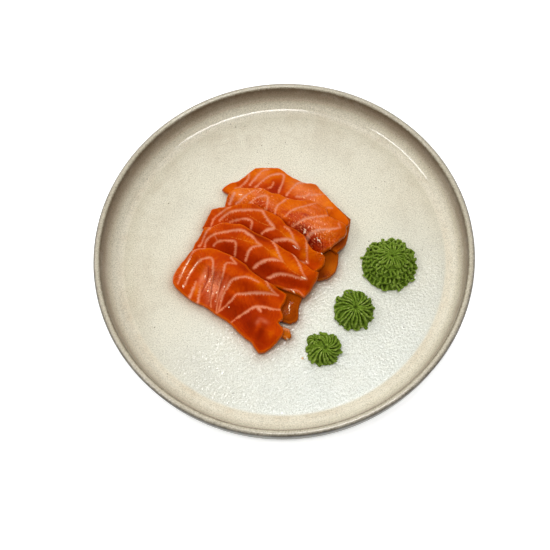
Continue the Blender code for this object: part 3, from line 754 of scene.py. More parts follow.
def salmon_material(groups, name, shades):
    """Raw salmon: orange muscle with pale seams of fat, streaked fibre, a wet surface and painted light and
    shade.
    """
    made, nodes, shader = new_material(
        name, IOR=1.42, Specular_IOR_Level=0.35, Specular_Tint=(1.0, 0.36, 0.03, 1.0),
        Subsurface_Radius=(1.0, 0.3, 0.1), Subsurface_Scale=0.0012, Subsurface_Weight=0.15,
        Coat_Roughness=0.08, Coat_IOR=1.4)
    where = nodes.where()
    along, across = nodes.attribute("along"), nodes.attribute("across")
    tone, edge, gash = nodes.attribute("tone"), nodes.attribute("edge"), nodes.attribute("gash")
    wet = nodes.times(nodes.attribute("wet"), nodes.span(gash, 0.0, 0.8, 1.0, 0.1))

    streak = nodes.use(groups["fibre"], Along=along, Across=across, Pitch=0.8, Length=5.0)
    hair = nodes.use(groups["fibre"], Along=along, Across=across, Pitch=0.55, Length=1.6)
    blotch = nodes.use(groups["mottle"], Place=where, Scale=130.0, Contrast=1.0)

    clear = nodes.span(nodes.attribute("apart"), 0.3, 1.8)
    streak, hair = (nodes.plus(nodes.times(nodes.centred(each), clear), 0.5)
                    for each in (streak, hair))
    shift = nodes.plus(nodes.times(nodes.centred(streak), 0.45),
                       nodes.times(nodes.centred(blotch), 0.16))
    # Tone and painted shade set how deep the flesh colour is.
    depth = nodes.plus(nodes.times(nodes.centred(tone), 1.35), 0.44)
    flesh = nodes.ramp(nodes.plus(depth, shift), shades["flesh"])
    # Painted light: the flesh turns lighter and more orange toward the thin cut edges, as if lit through.
    edge_glow = nodes.span(edge, 0.0, 1.8, 0.6, 0.0)
    flesh = nodes.mix(edge_glow, flesh, shades["edge"])
    # Painted sheen: pale patches where the wet muscle would mirror the light.
    pale = nodes.times(nodes.attribute("bloom"), nodes.span(hair, 0.35, 0.7, 0.35, 1.0))
    flesh = nodes.mix(pale, flesh, shades["pale"])

    ragged = nodes.span(across, -0.3, 0.4, 1.6, 0.35)
    rough_edge = nodes.times(nodes.centred(hair), ragged)
    fade = nodes.use(groups["fibre"], Along=along, Across=0.0, Pitch=4.0, Length=1.0)
    inside = nodes.plus(nodes.attribute("fat"), nodes.times(rough_edge, 1.7))
    inside = nodes.plus(inside, nodes.times(nodes.math("SUBTRACT", fade, 0.55), 1.1))
    seam = nodes.span(inside, -0.70, 0.45)
    heart = nodes.span(inside, 0.1, 0.9)
    fat = nodes.mix(heart, shades["seam"], shades["heart"])
    skin = nodes.mix(nodes.times(seam, 0.92), flesh, fat)

    vein = nodes.times(nodes.span(nodes.attribute("vein"), -0.25, 0.12),
                       nodes.span(nodes.noise(where, 1300.0, detail=1.0), 0.42, 0.58))
    skin = nodes.mix(nodes.times(vein, 0.4), skin, shades["vein"])
    grit = nodes.noise(where, 950.0, detail=2.0, roughness=0.7)
    run = nodes.use(groups["fibre"], Along=along, Across=across, Pitch=0.85, Length=2.2)
    beads = nodes.plus(nodes.times(grit, 0.42), nodes.times(run, 0.58))
    # Painted highlights: small pale glints over the wet muscle.
    wet_glints = nodes.times(nodes.span(beads, 0.52, 0.60), nodes.span(wet, 0.2, 0.9))
    skin = nodes.mix(nodes.times(wet_glints, 0.62), skin, shades["wet_glint"])
    # Painted shade inside the gashes.
    skin = nodes.mix(nodes.times(gash, 0.65), skin, shades["gash"])
    # Painted contact shadow next to the slice that covers this one.
    skin = nodes.mix(nodes.times(nodes.attribute("tuck"), 0.75), skin, shades["gash"])
    # Painted highlights: near-white glints where the muscle is wettest and along the shining lines.
    sparks = nodes.times(nodes.span(beads, 0.60, 0.67), nodes.span(wet, 0.45, 0.95))
    shine = nodes.times(nodes.span(nodes.attribute("shine"), 0.3, 0.8), nodes.span(grit, 0.42, 0.52))
    skin = nodes.mix(nodes.times(nodes.math("MAXIMUM", sparks, shine), 0.9), skin, shades["spark"])
    nodes.put(shader.inputs["Base Color"], skin)

    damp = nodes.span(blotch, 0.2, 0.8, 0.62, 0.5, shape="LINEAR")
    nodes.put(shader.inputs["Roughness"], nodes.math("SUBTRACT", damp, nodes.times(wet, 0.42)))
    nodes.put(shader.inputs["Coat Weight"], nodes.span(wet, 0.4, 1.0, 0.0, 0.25, shape="LINEAR"))
    drops = nodes.use(groups["grain"], Place=where, Scale=900.0, Detail=1.0)
    film = nodes.bump(nodes.times(drops, nodes.span(wet, 0.0, 0.8, 0.12, 1.0)), 1.0, 0.0006)
    nodes.put(shader.inputs["Normal"], nodes.bump(hair, 0.25, 0.0004, below=film))
    return made


# Some of these colours are painted light and shade, as marked where the material uses them.
SALMON_SHADES = {
    "flesh": [(0.0, colour(124, 18, 0)), (0.25, colour(152, 32, 0)), (0.5, colour(179, 54, 0)),
              (0.75, colour(205, 91, 0)), (1.0, colour(230, 126, 10))],
    "edge": colour(210, 98, 0), "pale": colour(232, 142, 104), "seam": colour(206, 114, 74),
    "heart": colour(211, 142, 116), "vein": colour(226, 140, 56), "gash": colour(146, 34, 0),
    "wet_glint": colour(236, 138, 80), "spark": colour(255, 232, 204),
}
# The lower slices' flesh is darker than the row's: painted shade under the slices above.
LOWER_SHADED_COLOURS = {
    "flesh": [(0.0, colour(104, 28, 0)), (0.5, colour(146, 56, 0)), (1.0, colour(184, 92, 8))],
    "edge": colour(176, 84, 4), "pale": colour(196, 104, 50), "seam": colour(206, 120, 70),
    "heart": colour(222, 158, 120), "vein": colour(214, 130, 60), "gash": colour(96, 20, 0),
    "wet_glint": colour(196, 116, 60), "spark": colour(252, 226, 190),
}


def wasabi_material(groups):
    """Stiff, matte paste with painted light and shade: pale along the ridges and dark in the grooves between
    them.
    """
    made, nodes, shader = new_material(
        "wasabi_paste", IOR=1.4, Specular_IOR_Level=0.1, Subsurface_Radius=(0.5, 1.0, 0.25),
        Subsurface_Scale=0.0008, Subsurface_Weight=0.12)
    where = nodes.where()
    ridge = nodes.attribute("ridge")
    blotch = nodes.use(groups["mottle"], Place=where, Scale=260.0, Contrast=1.2)
    # Painted light and shade: lighter where the paste stands out and darker in its grooves, with random
    # blotches.
    shading_and_blotch = nodes.plus(nodes.times(ridge, 0.72), nodes.times(blotch, 0.34))
    paste = nodes.ramp(shading_and_blotch, [(0.0, colour(36, 50, 2)), (0.35, colour(70, 92, 15)),
                               (0.7, colour(108, 133, 40)), (1.0, colour(156, 173, 90))])
    bits = nodes.use(groups["speckle"], Place=where, Scale=1500.0, Size=0.4, Share=0.15)
    paste = nodes.mix(nodes.times(bits, 0.3), paste, colour(60, 84, 20))
    nodes.put(shader.inputs["Base Color"], paste)
    nodes.put(shader.inputs["Roughness"], nodes.span(blotch, 0.2, 0.8, 0.5, 0.68, shape="LINEAR"))
    grit = nodes.use(groups["grain"], Place=where, Scale=1500.0, Detail=3.0)
    nodes.put(shader.inputs["Normal"], nodes.bump(grit, 0.5, 0.0004))
    return made


def crumb_material(groups):
    """A dry, tan flake."""
    made, nodes, shader = new_material("dried_crumb", IOR=1.4)
    where = nodes.where()
    blotch = nodes.use(groups["mottle"], Place=where, Scale=1500.0, Contrast=1.4)
    nodes.put(shader.inputs["Base Color"], nodes.mix(blotch, colour(196, 152, 98), colour(232, 196, 146)))
    nodes.put(shader.inputs["Roughness"], nodes.span(blotch, 0.0, 1.0, 0.5, 0.7))
    return made


def backdrop_material():
    """A matte white table."""
    made, nodes, shader = new_material("white_table", Roughness=0.9, Specular_IOR_Level=0.1,
                                       Emission_Strength=0.35)
    soft = nodes.noise(nodes.where(), 3.0)
    nodes.put(shader.inputs["Base Color"], nodes.mix(soft, colour(250, 250, 249), colour(246, 246, 245)))
    shader.inputs["Emission Color"].default_value = (1, 1, 1, 1)
    return made


# ---------------------------------------------------------------- pieces


def new_piece(name, points, faces, finish, node=None, values=None):
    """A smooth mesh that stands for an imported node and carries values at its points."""
    mesh = bpy.data.meshes.new(name)
    mesh.from_pydata(np.asarray(points, float).tolist(), [], faces)
    for label, numbers in (values or {}).items():
        store = mesh.attributes.new(label, "FLOAT", "POINT")
        store.data.foreach_set("value", np.asarray(numbers, np.float32))
    mesh.materials.append(finish)
    mesh.shade_smooth()
    obj = bpy.data.objects.new(name, mesh)
    bpy.context.scene.collection.objects.link(obj)
    if node:
        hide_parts(node)
    return obj


def wander(points, size, seed):
    """Smooth noise from -1 to 1 at each point, with bumps of this size."""
    shift = Vector((seed * 7.3, seed * 3.1, seed * 5.7))
    return np.array([noise.noise(Vector(p) / size + shift) for p in np.asarray(points, float)])


# ---------------------------------------------------------------- the plate


def arc(centre, radii, start, end, steps):
    """Points (x, z) along an elliptical arc, with its angles in degrees."""
    angles = np.radians(np.linspace(start, end, steps + 1))
    return [(centre[0] + radii[0] * math.cos(a), centre[1] + radii[1] * math.sin(a)) for a in angles]


def plate_section():
    """Points (radius, height) down the section: the floor, the cove, the wall, the rim and the foot."""
    rim = RIM_THICKNESS / 2
    rim_centre = (PLATE_RADIUS - rim, PLATE_HEIGHT - rim)
    cove_centre = (FLOOR_RADIUS, FLOOR_TOP + COVE_RADIUS)
    heel_centre = (PLATE_RADIUS - WALL_LEAN - HEEL_WIDTH, FLOOR_UNDERSIDE + HEEL_HEIGHT)
    corners = [(0, FLOOR_TOP)]
    corners += arc(cove_centre, (COVE_RADIUS, COVE_RADIUS), -90, COVE_ANGLE - 90, COVE_STEPS)
    corners += arc(rim_centre, (rim, rim), 180, 0, RIM_STEPS)
    corners += arc(heel_centre, (HEEL_WIDTH, HEEL_HEIGHT), 0, -90, HEEL_STEPS)
    corners += [(FOOT_OUTER + FOOT_FLARE, FLOOR_UNDERSIDE), (FOOT_OUTER, 0), (FOOT_INNER, 0)]
    corners += [(FOOT_INNER - FOOT_FLARE, FLOOR_UNDERSIDE), (0, FLOOR_UNDERSIDE)]
    section = [corners[0]]
    for (x, z), (next_x, next_z) in zip(corners, corners[1:]):
        count = max(1, math.ceil(math.hypot(next_x - x, next_z - z) / SECTION_STEP))
        for k in range(1, count + 1):
            section.append((x + (next_x - x) * k / count, z + (next_z - z) * k / count))
    return section


def make_plate(groups):
    """The plate is turned from its section. Its run value is the distance along the section in mm."""
    section = plate_section()
    gaps = [math.dist(a, b) for a, b in zip(section, section[1:])]
    runs = np.concatenate([[0], np.cumsum(gaps)]) / MM
    count = PLATE_STEPS
    points, values, faces = [(0, 0, section[0][1])], [runs[0]], []
    for (radius, height), run in zip(section[1:-1], runs[1:-1]):
        for k in range(count):
            angle = math.tau * k / count
            points.append((radius * math.cos(angle), radius * math.sin(angle), height))
            values.append(run)
    points.append((0, 0, section[-1][1]))
    values.append(runs[-1])
    last = len(points) - 1
    rings = len(section) - 2
    for k in range(count):
        after = (k + 1) % count
        faces.append([0, 1 + k, 1 + after])
        for ring in range(rings - 1):
            start = 1 + ring * count
            faces.append([start + k, start + count + k, start + count + after, start + after])
        faces.append([last, last - count + after, last - count + k])
    points = np.array(points)
    share = np.clip(points[:, 2] / PLATE_HEIGHT, 0, 1)
    share *= np.clip(np.hypot(*points[:, :2].T) / THROWN_START, 0, 1)
    in_height, in_radius = THROWN_SIZES
    points[:, 2] -= THROWN_WAVE * share * (1 + wander(points, in_height, 1))
    points[:, :2] *= 1 - (THROWN_WAVE / PLATE_RADIUS * share * (1 + wander(points, in_radius, 2)))[:, None]
    return new_piece("stoneware_plate", points, faces, stoneware_material(groups), "plate",
                     {"run": values, "juice": pile_shadow_at(points / MM)})


# ---------------------------------------------------------------- the salmon


def smooth_curve(points, steps):
    """Points at even distances along a Catmull-Rom curve through the given ones."""
    points = np.array(points, float)
    ends = np.vstack([2 * points[0] - points[1], points, 2 * points[-1] - points[-2]])
    fine = []
    for before, here, there, after in zip(ends, ends[1:], ends[2:], ends[3:]):
        for t in np.linspace(0, 1, CURVE_STEPS, endpoint=False):
            bend = 2 * before - 5 * here + 4 * there - after
            twist = 3 * here - before - 3 * there + after
            fine.append(here + 0.5 * ((there - before) * t + bend * t**2 + twist * t**3))
    fine.append(points[-1])
    fine = np.array(fine)
    along = np.concatenate([[0], np.cumsum(np.hypot(*np.diff(fine, axis=0).T))])
    even = np.linspace(0, along[-1], steps + 1)
    return np.column_stack([np.interp(even, along, fine[:, k]) for k in (0, 1)])


def outline_edges(outline, cells):
    """The four edges of a slice: front and back run to the right, left and right run to the back."""
    front, back = outline["front"], outline["back"]
    right = [front[-1], *outline["right"], back[-1]]
    left = [front[0], *outline["left"], back[0]]
    return [smooth_curve(edge, n) for edge, n in
            ((front, cells[0]), (back, cells[0]), (left, cells[1]), (right, cells[1]))]


def closed_ring(front, back, left, right):
    """The edges joined into one ring, counter-clockwise from the front left corner."""
    return np.vstack([front[:-1], right[:-1], back[:0:-1], left[:0:-1]])


def inward_normals(ring, spread):
    """Directions into the ring, each averaged over its neighbours on either side."""
    tangent = np.roll(ring, -1, axis=0) - np.roll(ring, 1, axis=0)
    tangent = sum(np.roll(tangent, k, axis=0) for k in range(-spread, spread + 1))
    tangent /= np.hypot(*tangent.T)[:, None]
    return np.column_stack([-tangent[:, 1], tangent[:, 0]])


def patch(ring, cells):
    """A grid of points inside a ring, blended from its four sides (a Coons patch)."""
    n, m = cells
    front, right = ring[: n + 1], ring[n : n + m + 1]
    back = ring[n + m : 2 * n + m + 1][::-1]
    left = np.vstack([ring[2 * n + m :], ring[:1]])[::-1]
    s = np.linspace(0, 1, n + 1)[:, None, None]
    t = np.linspace(0, 1, m + 1)[None, :, None]
    across = (1 - t) * front[:, None] + t * back[:, None]
    along = (1 - s) * left[None] + s * right[None]
    low = (1 - s) * front[0] + s * front[-1]
    high = (1 - s) * back[0] + s * back[-1]
    return across + along - (1 - t) * low - t * high


def distance_inside(ring, x, y):
    """How far each point lies inside the ring, and less than 0 outside it."""
    nearest = np.full(x.shape, np.inf)
    inside = np.zeros(x.shape, bool)
    for (ax, ay), (bx, by) in zip(ring, np.roll(ring, -1, axis=0)):
        dx, dy = bx - ax, by - ay
        t = np.clip(((x - ax) * dx + (y - ay) * dy) / (dx * dx + dy * dy), 0, 1)
        nearest = np.minimum(nearest, np.hypot(x - ax - t * dx, y - ay - t * dy))
        if ay != by:
            inside ^= ((ay > y) != (by > y)) & (x < ax + (y - ay) / (by - ay) * dx)
    return np.where(inside, nearest, -nearest)


def rounded(inset):
    """Height of the rounded edge at this distance from it: 0 at the edge, 1 where it ends."""
    return np.sqrt(1 - (1 - np.clip(inset / EDGE_INSET, 0, 1)) ** 2)


def steps_within(radius):
    """Every whole step (i, j) that is no longer than the radius."""
    reach = range(-radius, radius + 1)
    return [(i, j) for i in reach for j in reach if i * i + j * j <= radius**2]


class HeightField:
    """The top of everything laid so far, on a fine grid."""

    def __init__(self):
        self.x = np.arange(FIELD_X[0], FIELD_X[1] + FIELD_STEP, FIELD_STEP)
        self.y = np.arange(FIELD_Y[0], FIELD_Y[1] + FIELD_STEP, FIELD_STEP)
        self.grid = np.meshgrid(self.x, self.y, indexing="ij")
        self.top = np.full(self.grid[0].shape, FLOOR_TOP / MM)

    def draped(self, inside):
        """The underside of a slice: the top below it, widened and then smoothed, so that it clears it."""
        under = np.where(inside, self.top, FLOOR_TOP / MM)
        wide = under.copy()
        for step in steps_within(round((DRAPE_RADIUS + OVERHANG) / FIELD_STEP)):
            wide = np.maximum(wide, np.roll(under, step, (0, 1)))
        steps = steps_within(round(DRAPE_RADIUS / FIELD_STEP))
        return sum(np.roll(wide, step, (0, 1)) for step in steps) / len(steps)

    def read(self, values, points):
        """Values at points off the grid."""
        fx = np.clip((points[..., 0] - self.x[0]) / FIELD_STEP, 0, len(self.x) - 1.001)
        fy = np.clip((points[..., 1] - self.y[0]) / FIELD_STEP, 0, len(self.y) - 1.001)
        i, j = fx.astype(int), fy.astype(int)
        u, v = fx - i, fy - j
        near = values[i, j] * (1 - v) + values[i, j + 1] * v
        far = values[i + 1, j] * (1 - v) + values[i + 1, j + 1] * v
        return near * (1 - u) + far * u


def line_distance(points, lines, far=FAR):
    """How far each point is inside the lines' half widths, its place along and across the nearest line, and
    how much farther the second nearest is."""
    x, y = points[:, 0], points[:, 1]
    depth = np.full(len(points), -far)
    nearest, second = np.full(len(points), UNREACHED), np.full(len(points), UNREACHED)
    along = np.zeros(len(points))
    across = np.full(len(points), far)
    for number, (widths, line) in enumerate(lines):
        steps = int(math.dist(line[0], line[-1]) / LINE_STEP) + 4 * len(line)
        curve = smooth_curve(line, max(6, steps))
        for _ in range(SEAM_EASING):
            curve[1:-1] = (curve[:-2] + 2 * curve[1:-1] + curve[2:]) / 4
        lengths = np.hypot(*np.diff(curve, axis=0).T)
        runs = np.concatenate([[0], np.cumsum(lengths)])
        shares = np.linspace(0, 1, len(widths))
        half = 0.5 * np.interp(runs / runs[-1], shares, widths)
        reach = np.full(len(points), UNREACHED)
        place, off = np.zeros(len(points)), np.zeros(len(points))
        for k, ((ax, ay), (bx, by)) in enumerate(zip(curve, curve[1:])):
            dx, dy = (bx - ax) / lengths[k], (by - ay) / lengths[k]
            t = np.clip((x - ax) * dx + (y - ay) * dy, 0, lengths[k])
            away = np.hypot(x - ax - t * dx, y - ay - t * dy)
            depth = np.maximum(depth, half[k] + (half[k + 1] - half[k]) * t / lengths[k] - away)
            closer = away < reach
            side = np.where((y - ay) * abs(dx) - (x - ax) * dy * np.sign(dx) > 0, 1, -1)
            place = np.where(closer, runs[k] + t + LINE_SHIFT * number, place)
            off = np.where(closer, side * away, off)
            reach = np.where(closer, away, reach)
        ahead = reach < nearest
        second = np.where(ahead, nearest, np.minimum(second, reach))
        along, across = np.where(ahead, place, along), np.where(ahead, off, across)
        nearest = np.minimum(nearest, reach)
    return depth, along, np.clip(across, -far, far), np.clip(second - nearest, 0, far)


def patches(points, spots, start=0.0):
    """Soft oval patches added up at each point."""
    total = np.full(len(points), start)
    for (x, y), (wide, deep), strength in spots:
        total += strength * np.exp(-(((points[:, 0] - x) / wide) ** 2 + ((points[:, 1] - y) / deep) ** 2))
    return total


def marks_of(name, ring, back, points):
    """What the shader needs to know at each point of a slice. The painted contact shadow lies next to the
    slice that covers it.
    """
    fat, along, across, apart = line_distance(points, SEAMS.get(name, []))
    vein = line_distance(points, [((VEIN_WIDTH, VEIN_WIDTH), line) for line in VEINS.get(name, [])])[0]
    gash = line_distance(points, [((GASH_WIDTH, GASH_WIDTH), line) for line in GASHES.get(name, [])])[0]
    shine = line_distance(points, [((0, wide, 0), line) for wide, line in SHINES.get(name, [])])[0]
    from_back = -line_distance(points, [((0, 0), back[::6])], far=HIDDEN_DEPTH)[0]
    edge = distance_inside(ring[::3], points[:, 0], points[:, 1])
    wet = patches(points, WET.get(name, [])) + WET_EDGE * np.exp(-edge / WET_EDGE_WIDTH)
    over = covering_edge(name)
    beside = np.full(len(points), FAR) if over is None else -line_distance(points, [((0, 0), over)])[0]
    fall = OPEN_FALL if over is None else COVERED_FALL
    # Tone patches, less a fall toward the front of the slice that is partly painted shade.
    tone = patches(points, TONES.get(name, []), TONE) - fall * np.clip(from_back / HIDDEN_DEPTH, 0, 1) ** 1.3
    return {
        "fat": np.clip(fat, -3, 2), "along": along, "across": across, "vein": np.clip(vein, -3, 1),
        "gash": np.clip(1 + gash / LINE_EASE, 0, 1), "shine": np.clip(1 + shine / LINE_EASE, 0, 1),
        "apart": apart, "edge": np.clip(edge, 0, FAR), "wet": np.clip(wet, 0, 1), "tone": tone,
        "bloom": np.clip(patches(points, PAINTED_SHEENS.get(name, [])), 0, 1),
        "tuck": np.exp(-beside / CONTACT_SHADOW_WIDTH),
    }


def covering_edge(name):
    """The back edge of the slice that lies over this one."""
    names = list(TOP_SLICES)
    if name not in names or name == names[-1]:
        return None
    return TOP_SLICES[names[names.index(name) + 1]]["back"]


def bumps(points, layers, seed):
    """Smooth noise of several heights and sizes, added up."""
    return sum(height * wander(points, size, seed + k) for k, (height, size) in enumerate(layers))


def relief_of(points, marks, seed):
    """Height of the muscle above its smooth form, in mm."""
    flat = np.column_stack([points, np.zeros(len(points))])
    swell = SWELL * (1 - np.exp(-np.clip(-marks["fat"], 0, 9) / SWELL_REACH))
    waves = bumps(flat, WAVES, seed)
    beads = np.where(marks["edge"] > 1, marks["wet"], 0) * bumps(flat, BEADS, seed + len(WAVES))
    cracks = -GASH_DEPTH * marks["gash"] ** 2
    return swell + waves + beads + cracks - RELIEF_LEVEL


def pile_shadow_at(points):
    """How much painted shadow, pink with light thrown back from the slices, lies on the glaze: most beside
    them, and none behind the row.
    """
    turn = np.array(Matrix.Rotation(-ROW_HEADING, 2))
    flat = points[:, :2] @ turn.T
    away = np.full(len(points), FAR * 4)
    for outline in [*LOWER_SLICES.values(), *TOP_SLICES.values()]:
        ring = closed_ring(*outline_edges(outline, PILE_SHADOW_CELLS))
        away = np.minimum(away, -distance_inside(ring, *flat.T))
    spread = np.exp(-np.maximum(away, 0) / PILE_SHADOW_REACH)
    front = np.clip((PILE_SHADOW_BACK - flat[:, 1]) / PILE_SHADOW_EASE, 0, 1)
    return spread * front


def slice_mesh(field, name, outline, thickness, cells, seed):
    """Points, faces and marks of one draped slice. It is then part of the field for the next one."""
    edges = outline_edges(outline, cells)
    ring = closed_ring(*edges)
    normals = inward_normals(ring, EDGE_SPREAD)
    flat_ring = np.column_stack([ring, np.zeros(len(ring))])
    ring = ring + (EDGE_WAVER * wander(flat_ring, EDGE_WAVER_SIZE, seed + 5))[:, None] * normals
    normals = inward_normals(ring, EDGE_SPREAD)
    inset = distance_inside(ring[::4], *field.grid)
    base = field.draped(inset > 0) + TOUCH_GAP

    upper = patch(ring + EDGE_INSET * normals, cells)
    lower = patch(ring + LOWER_EDGE * EDGE_INSET * normals, cells)
    sides = [ring + EDGE_INSET * (1 - math.cos(math.radians(angle))) * normals for angle in EDGE_ANGLES]
    flat = np.vstack([upper.reshape(-1, 2), *sides])
    marks = marks_of(name, ring, edges[1], flat)
    relief = relief_of(flat, marks, seed)

    count = (cells[0] + 1) * (cells[1] + 1)
    share = np.ones(len(flat))
    rise = np.full(len(flat), thickness)
    for k, angle in enumerate(EDGE_ANGLES):
        part = slice(count + k * len(ring), count + (k + 1) * len(ring))
        rise[part] = 0.5 * thickness * (1 + math.sin(math.radians(angle)))
        share[part] = max(0, math.sin(math.radians(angle)))
    height = field.read(base, flat) + rise + relief * share
    under = field.read(base, lower.reshape(-1, 2)) - SETTLE
    drop = np.concatenate([np.zeros(count), *[np.full(len(ring), max(0, -math.sin(math.radians(a))))
                                              for a in EDGE_ANGLES]])
    height -= SETTLE * drop
    top = np.column_stack([flat, height])
    bottom = np.column_stack([lower.reshape(-1, 2), under])
    field.top = np.where(inset > 0, base + 0.5 * thickness * (1 + rounded(inset)), field.top)

    marks = {label: np.concatenate([numbers[:count], numbers[:count], numbers[count:]])
             for label, numbers in marks.items()}
    bands = [top[count + k * len(ring) : count + (k + 1) * len(ring)] for k in range(len(EDGE_ANGLES))]
    points, faces = join_layers([top[:count], bottom], bands, cells)
    return points, faces, marks


def join_layers(layers, bands, cells):
    """A closed body from a top grid, the bands around its side and a bottom grid."""
    n, m = cells
    size = (n + 1) * (m + 1)
    points = np.vstack([*layers, *bands])

    def at(i, j):
        return i * (m + 1) + j

    faces = []
    for i in range(n):
        for j in range(m):
            quad = [at(i, j), at(i + 1, j), at(i + 1, j + 1), at(i, j + 1)]
            faces.append(quad)
            faces.append([size + k for k in reversed(quad)])
    border = [at(i, 0) for i in range(n)] + [at(n, j) for j in range(m)]
    border += [at(i, m) for i in range(n, 0, -1)] + [at(0, j) for j in range(m, 0, -1)]
    count = len(border)
    rings = [border]
    rings += [[2 * size + b * count + k for k in range(count)] for b in range(len(bands))]
    rings.append([size + k for k in border])
    for above, below in zip(rings, rings[1:]):
        for k in range(count):
            after = (k + 1) % count
            faces.append([above[k], below[k], below[after], above[after]])
    return points, faces


def make_salmon(groups):
    """The slices in the order they are laid: the lower ones, and then the row from the back to the front."""
    field = HeightField()
    lower = salmon_material(groups, "lower_salmon_flesh", LOWER_SHADED_COLOURS)
    upper = salmon_material(groups, "salmon_flesh", SALMON_SHADES)
    seed = 0
    for slices, thickness, cells, finish, slot in (
        (LOWER_SLICES, LOWER_THICKNESS, LOWER_CELLS, lower, "lower_salmon"),
        (TOP_SLICES, TOP_THICKNESS, TOP_CELLS, upper, "salmon"),
    ):
        for name, outline in slices.items():
            seed += SEED_STEP
            grid = BEADED_CELLS if name in BEADED_SLICES else cells
            points, faces, marks = slice_mesh(field, name, outline, thickness, grid, seed)
            piece = new_piece("salmon_" + name, points * MM, faces, finish, name, marks)
            piece.rotation_euler.z = ROW_HEADING


# ---------------------------------------------------------------- the wasabi


def tube_faces(rings, count):
    """The faces of a closed tube: its two ends, and the squares between its rings of points."""
    faces = [list(range(count))[::-1], [(rings - 1) * count + k for k in range(count)]]
    for low in range(0, (rings - 1) * count, count):
        for k in range(count):
            after = (k + 1) % count
            faces.append([low + k, low + after, low + count + after, low + count + k])
    return faces


def lathe(section, steps, sector):
    """A closed body of revolution from points (radius, height), drawn in outside the sector."""
    angle = np.linspace(0, math.tau, steps, endpoint=False)
    first, last = sector
    wide = np.where((np.degrees(angle) - first) % 360 <= last - first, 1, NOTCH)
    rings = [np.column_stack([r * wide * np.cos(angle), r * wide * np.sin(angle), np.full(steps, z)])
             for r, z in section]
    return np.vstack(rings), tube_faces(len(section), steps)


def strand(path, out, side, wide, deep):
    """A closed tube of oval section along a path. Out and side are the section's two directions."""
    turn = np.linspace(0, math.tau, STRAND_SIDES, endpoint=False)
    across = (side * wide[:, None])[:, None] * np.cos(turn)[:, None]
    upward = (out * deep[:, None])[:, None] * np.sin(turn)[:, None]
    rings = path[:, None] + across + upward
    return rings.reshape(-1, 3), tube_faces(len(path), STRAND_SIDES)


def tier_strands(tier, random):
    """The ridges of one tier, each a strand that wavers, swells towards its end and hooks aside there."""
    curve = smooth_curve(tier["line"], STRAND_STEPS)
    share = np.linspace(0, 1, len(curve))
    slope = np.gradient(curve, axis=0)
    slope /= np.hypot(*slope.T)[:, None]
    first, last = tier.get("sector", (0, 360))
    bodies = []
    for ridge in range(tier["ridges"]):
        heading = 360 * (ridge + random.uniform(*RIDGE_PLAY)) / tier["ridges"] + tier.get("start", 0)
        if not (heading - first) % 360 <= last - first:
            continue
        wave, phase = random.uniform(*WAVER_RANGE) * tier["waver"], random.uniform(0, math.tau)
        hook = random.normal(0, 1) * tier["hook"]
        longer = 1 + random.normal(0, tier["ragged"])
        size = random.uniform(*RIDGE_SIZES)
        reach = curve[:, 0] * (1 + (longer - 1) * share**2)
        lift = curve[:, 1] + random.normal(0, LIFT_PLAY) * share**2
        lift = lift + tier["curl"] * np.clip(share - CURL_START, 0, 1)
        bend = wave * np.sin(phase + share * tier["waves"] * math.tau) * share
        aside = bend + hook * np.clip(share - HOOK_START, 0, 1) ** 2
        angle = np.radians(heading + tier["swirl"] * share) + aside / np.maximum(reach, 1)
        outward = np.column_stack([np.cos(angle), np.sin(angle), np.zeros(len(angle))])
        side = np.column_stack([-np.sin(angle), np.cos(angle), np.zeros(len(angle))])
        out = -outward * slope[:, 1:] + np.array([0, 0, 1]) * slope[:, :1]
        path = outward * reach[:, None] + np.array([0, 0, 1]) * lift[:, None]
        pitch = math.tau * reach / tier["ridges"]
        knob = 1 + KNOB_SWELL * np.exp(-(((share - KNOB_PLACE) / KNOB_LENGTH) ** 2))
        taper = np.sqrt(np.clip(1 - np.clip((share - TIP_START) / TIP_LENGTH, 0, 1) ** 2, 0.02, 1))
        start = np.sqrt(np.clip(share / 0.08, 0.05, 1))
        wide = np.minimum(RIDGE_SHARE * pitch, RIDGE_WIDEST) * size * knob * taper * start
        deep = np.minimum(0.25 + 0.75 * pitch, tier["deep"]) * size * taper * start
        bodies.append(strand(path, out, side, wide, deep))
    return bodies


def join_bodies(bodies):
    """One list of points and faces from several."""
    points, faces, count = [], [], 0
    for body, loops in bodies:
        points.append(body)
        faces += [[count + k for k in loop] for loop in loops]
        count += len(body)
    return np.vstack(points), faces


def melt_together(points, faces, grain):
    """The outer skin of overlapping bodies, as one closed mesh of even squares."""
    mesh = bpy.data.meshes.new("strands")
    mesh.from_pydata(points.tolist(), [], faces)
    body = bpy.data.objects.new("strands", mesh)
    bpy.context.scene.collection.objects.link(body)
    skin = body.modifiers.new("skin", "REMESH")
    skin.mode = "VOXEL"
    skin.voxel_size = grain
    made = bpy.data.meshes.new_from_object(body.evaluated_get(bpy.context.evaluated_depsgraph_get()))
    points = np.empty(3 * len(made.vertices))
    made.vertices.foreach_get("co", points)
    edges = np.empty(2 * len(made.edges), int)
    made.edges.foreach_get("vertices", edges)
    normals = np.empty(3 * len(made.vertices))
    made.vertex_normals.foreach_get("vector", normals)
    faces = [list(face.vertices) for face in made.polygons]
    bpy.data.objects.remove(body)
    for spent in (mesh, made):
        bpy.data.meshes.remove(spent)
    return points.reshape(-1, 3), faces, edges.reshape(-1, 2), normals.reshape(-1, 3)


def standing_out(points, edges, normals, rounds):
    """How far each point stands out of the smoothed mesh: over 0 on ridges, and under 0 in grooves."""
    smooth = points.copy()
    count = np.bincount(edges.ravel(), minlength=len(points))[:, None]
    for _ in range(rounds):
        total = np.zeros_like(smooth)
        np.add.at(total, edges[:, 0], smooth[edges[:, 1]])
        np.add.at(total, edges[:, 1], smooth[edges[:, 0]])
        smooth = total / count
    return ((points - smooth) * normals).sum(axis=1)


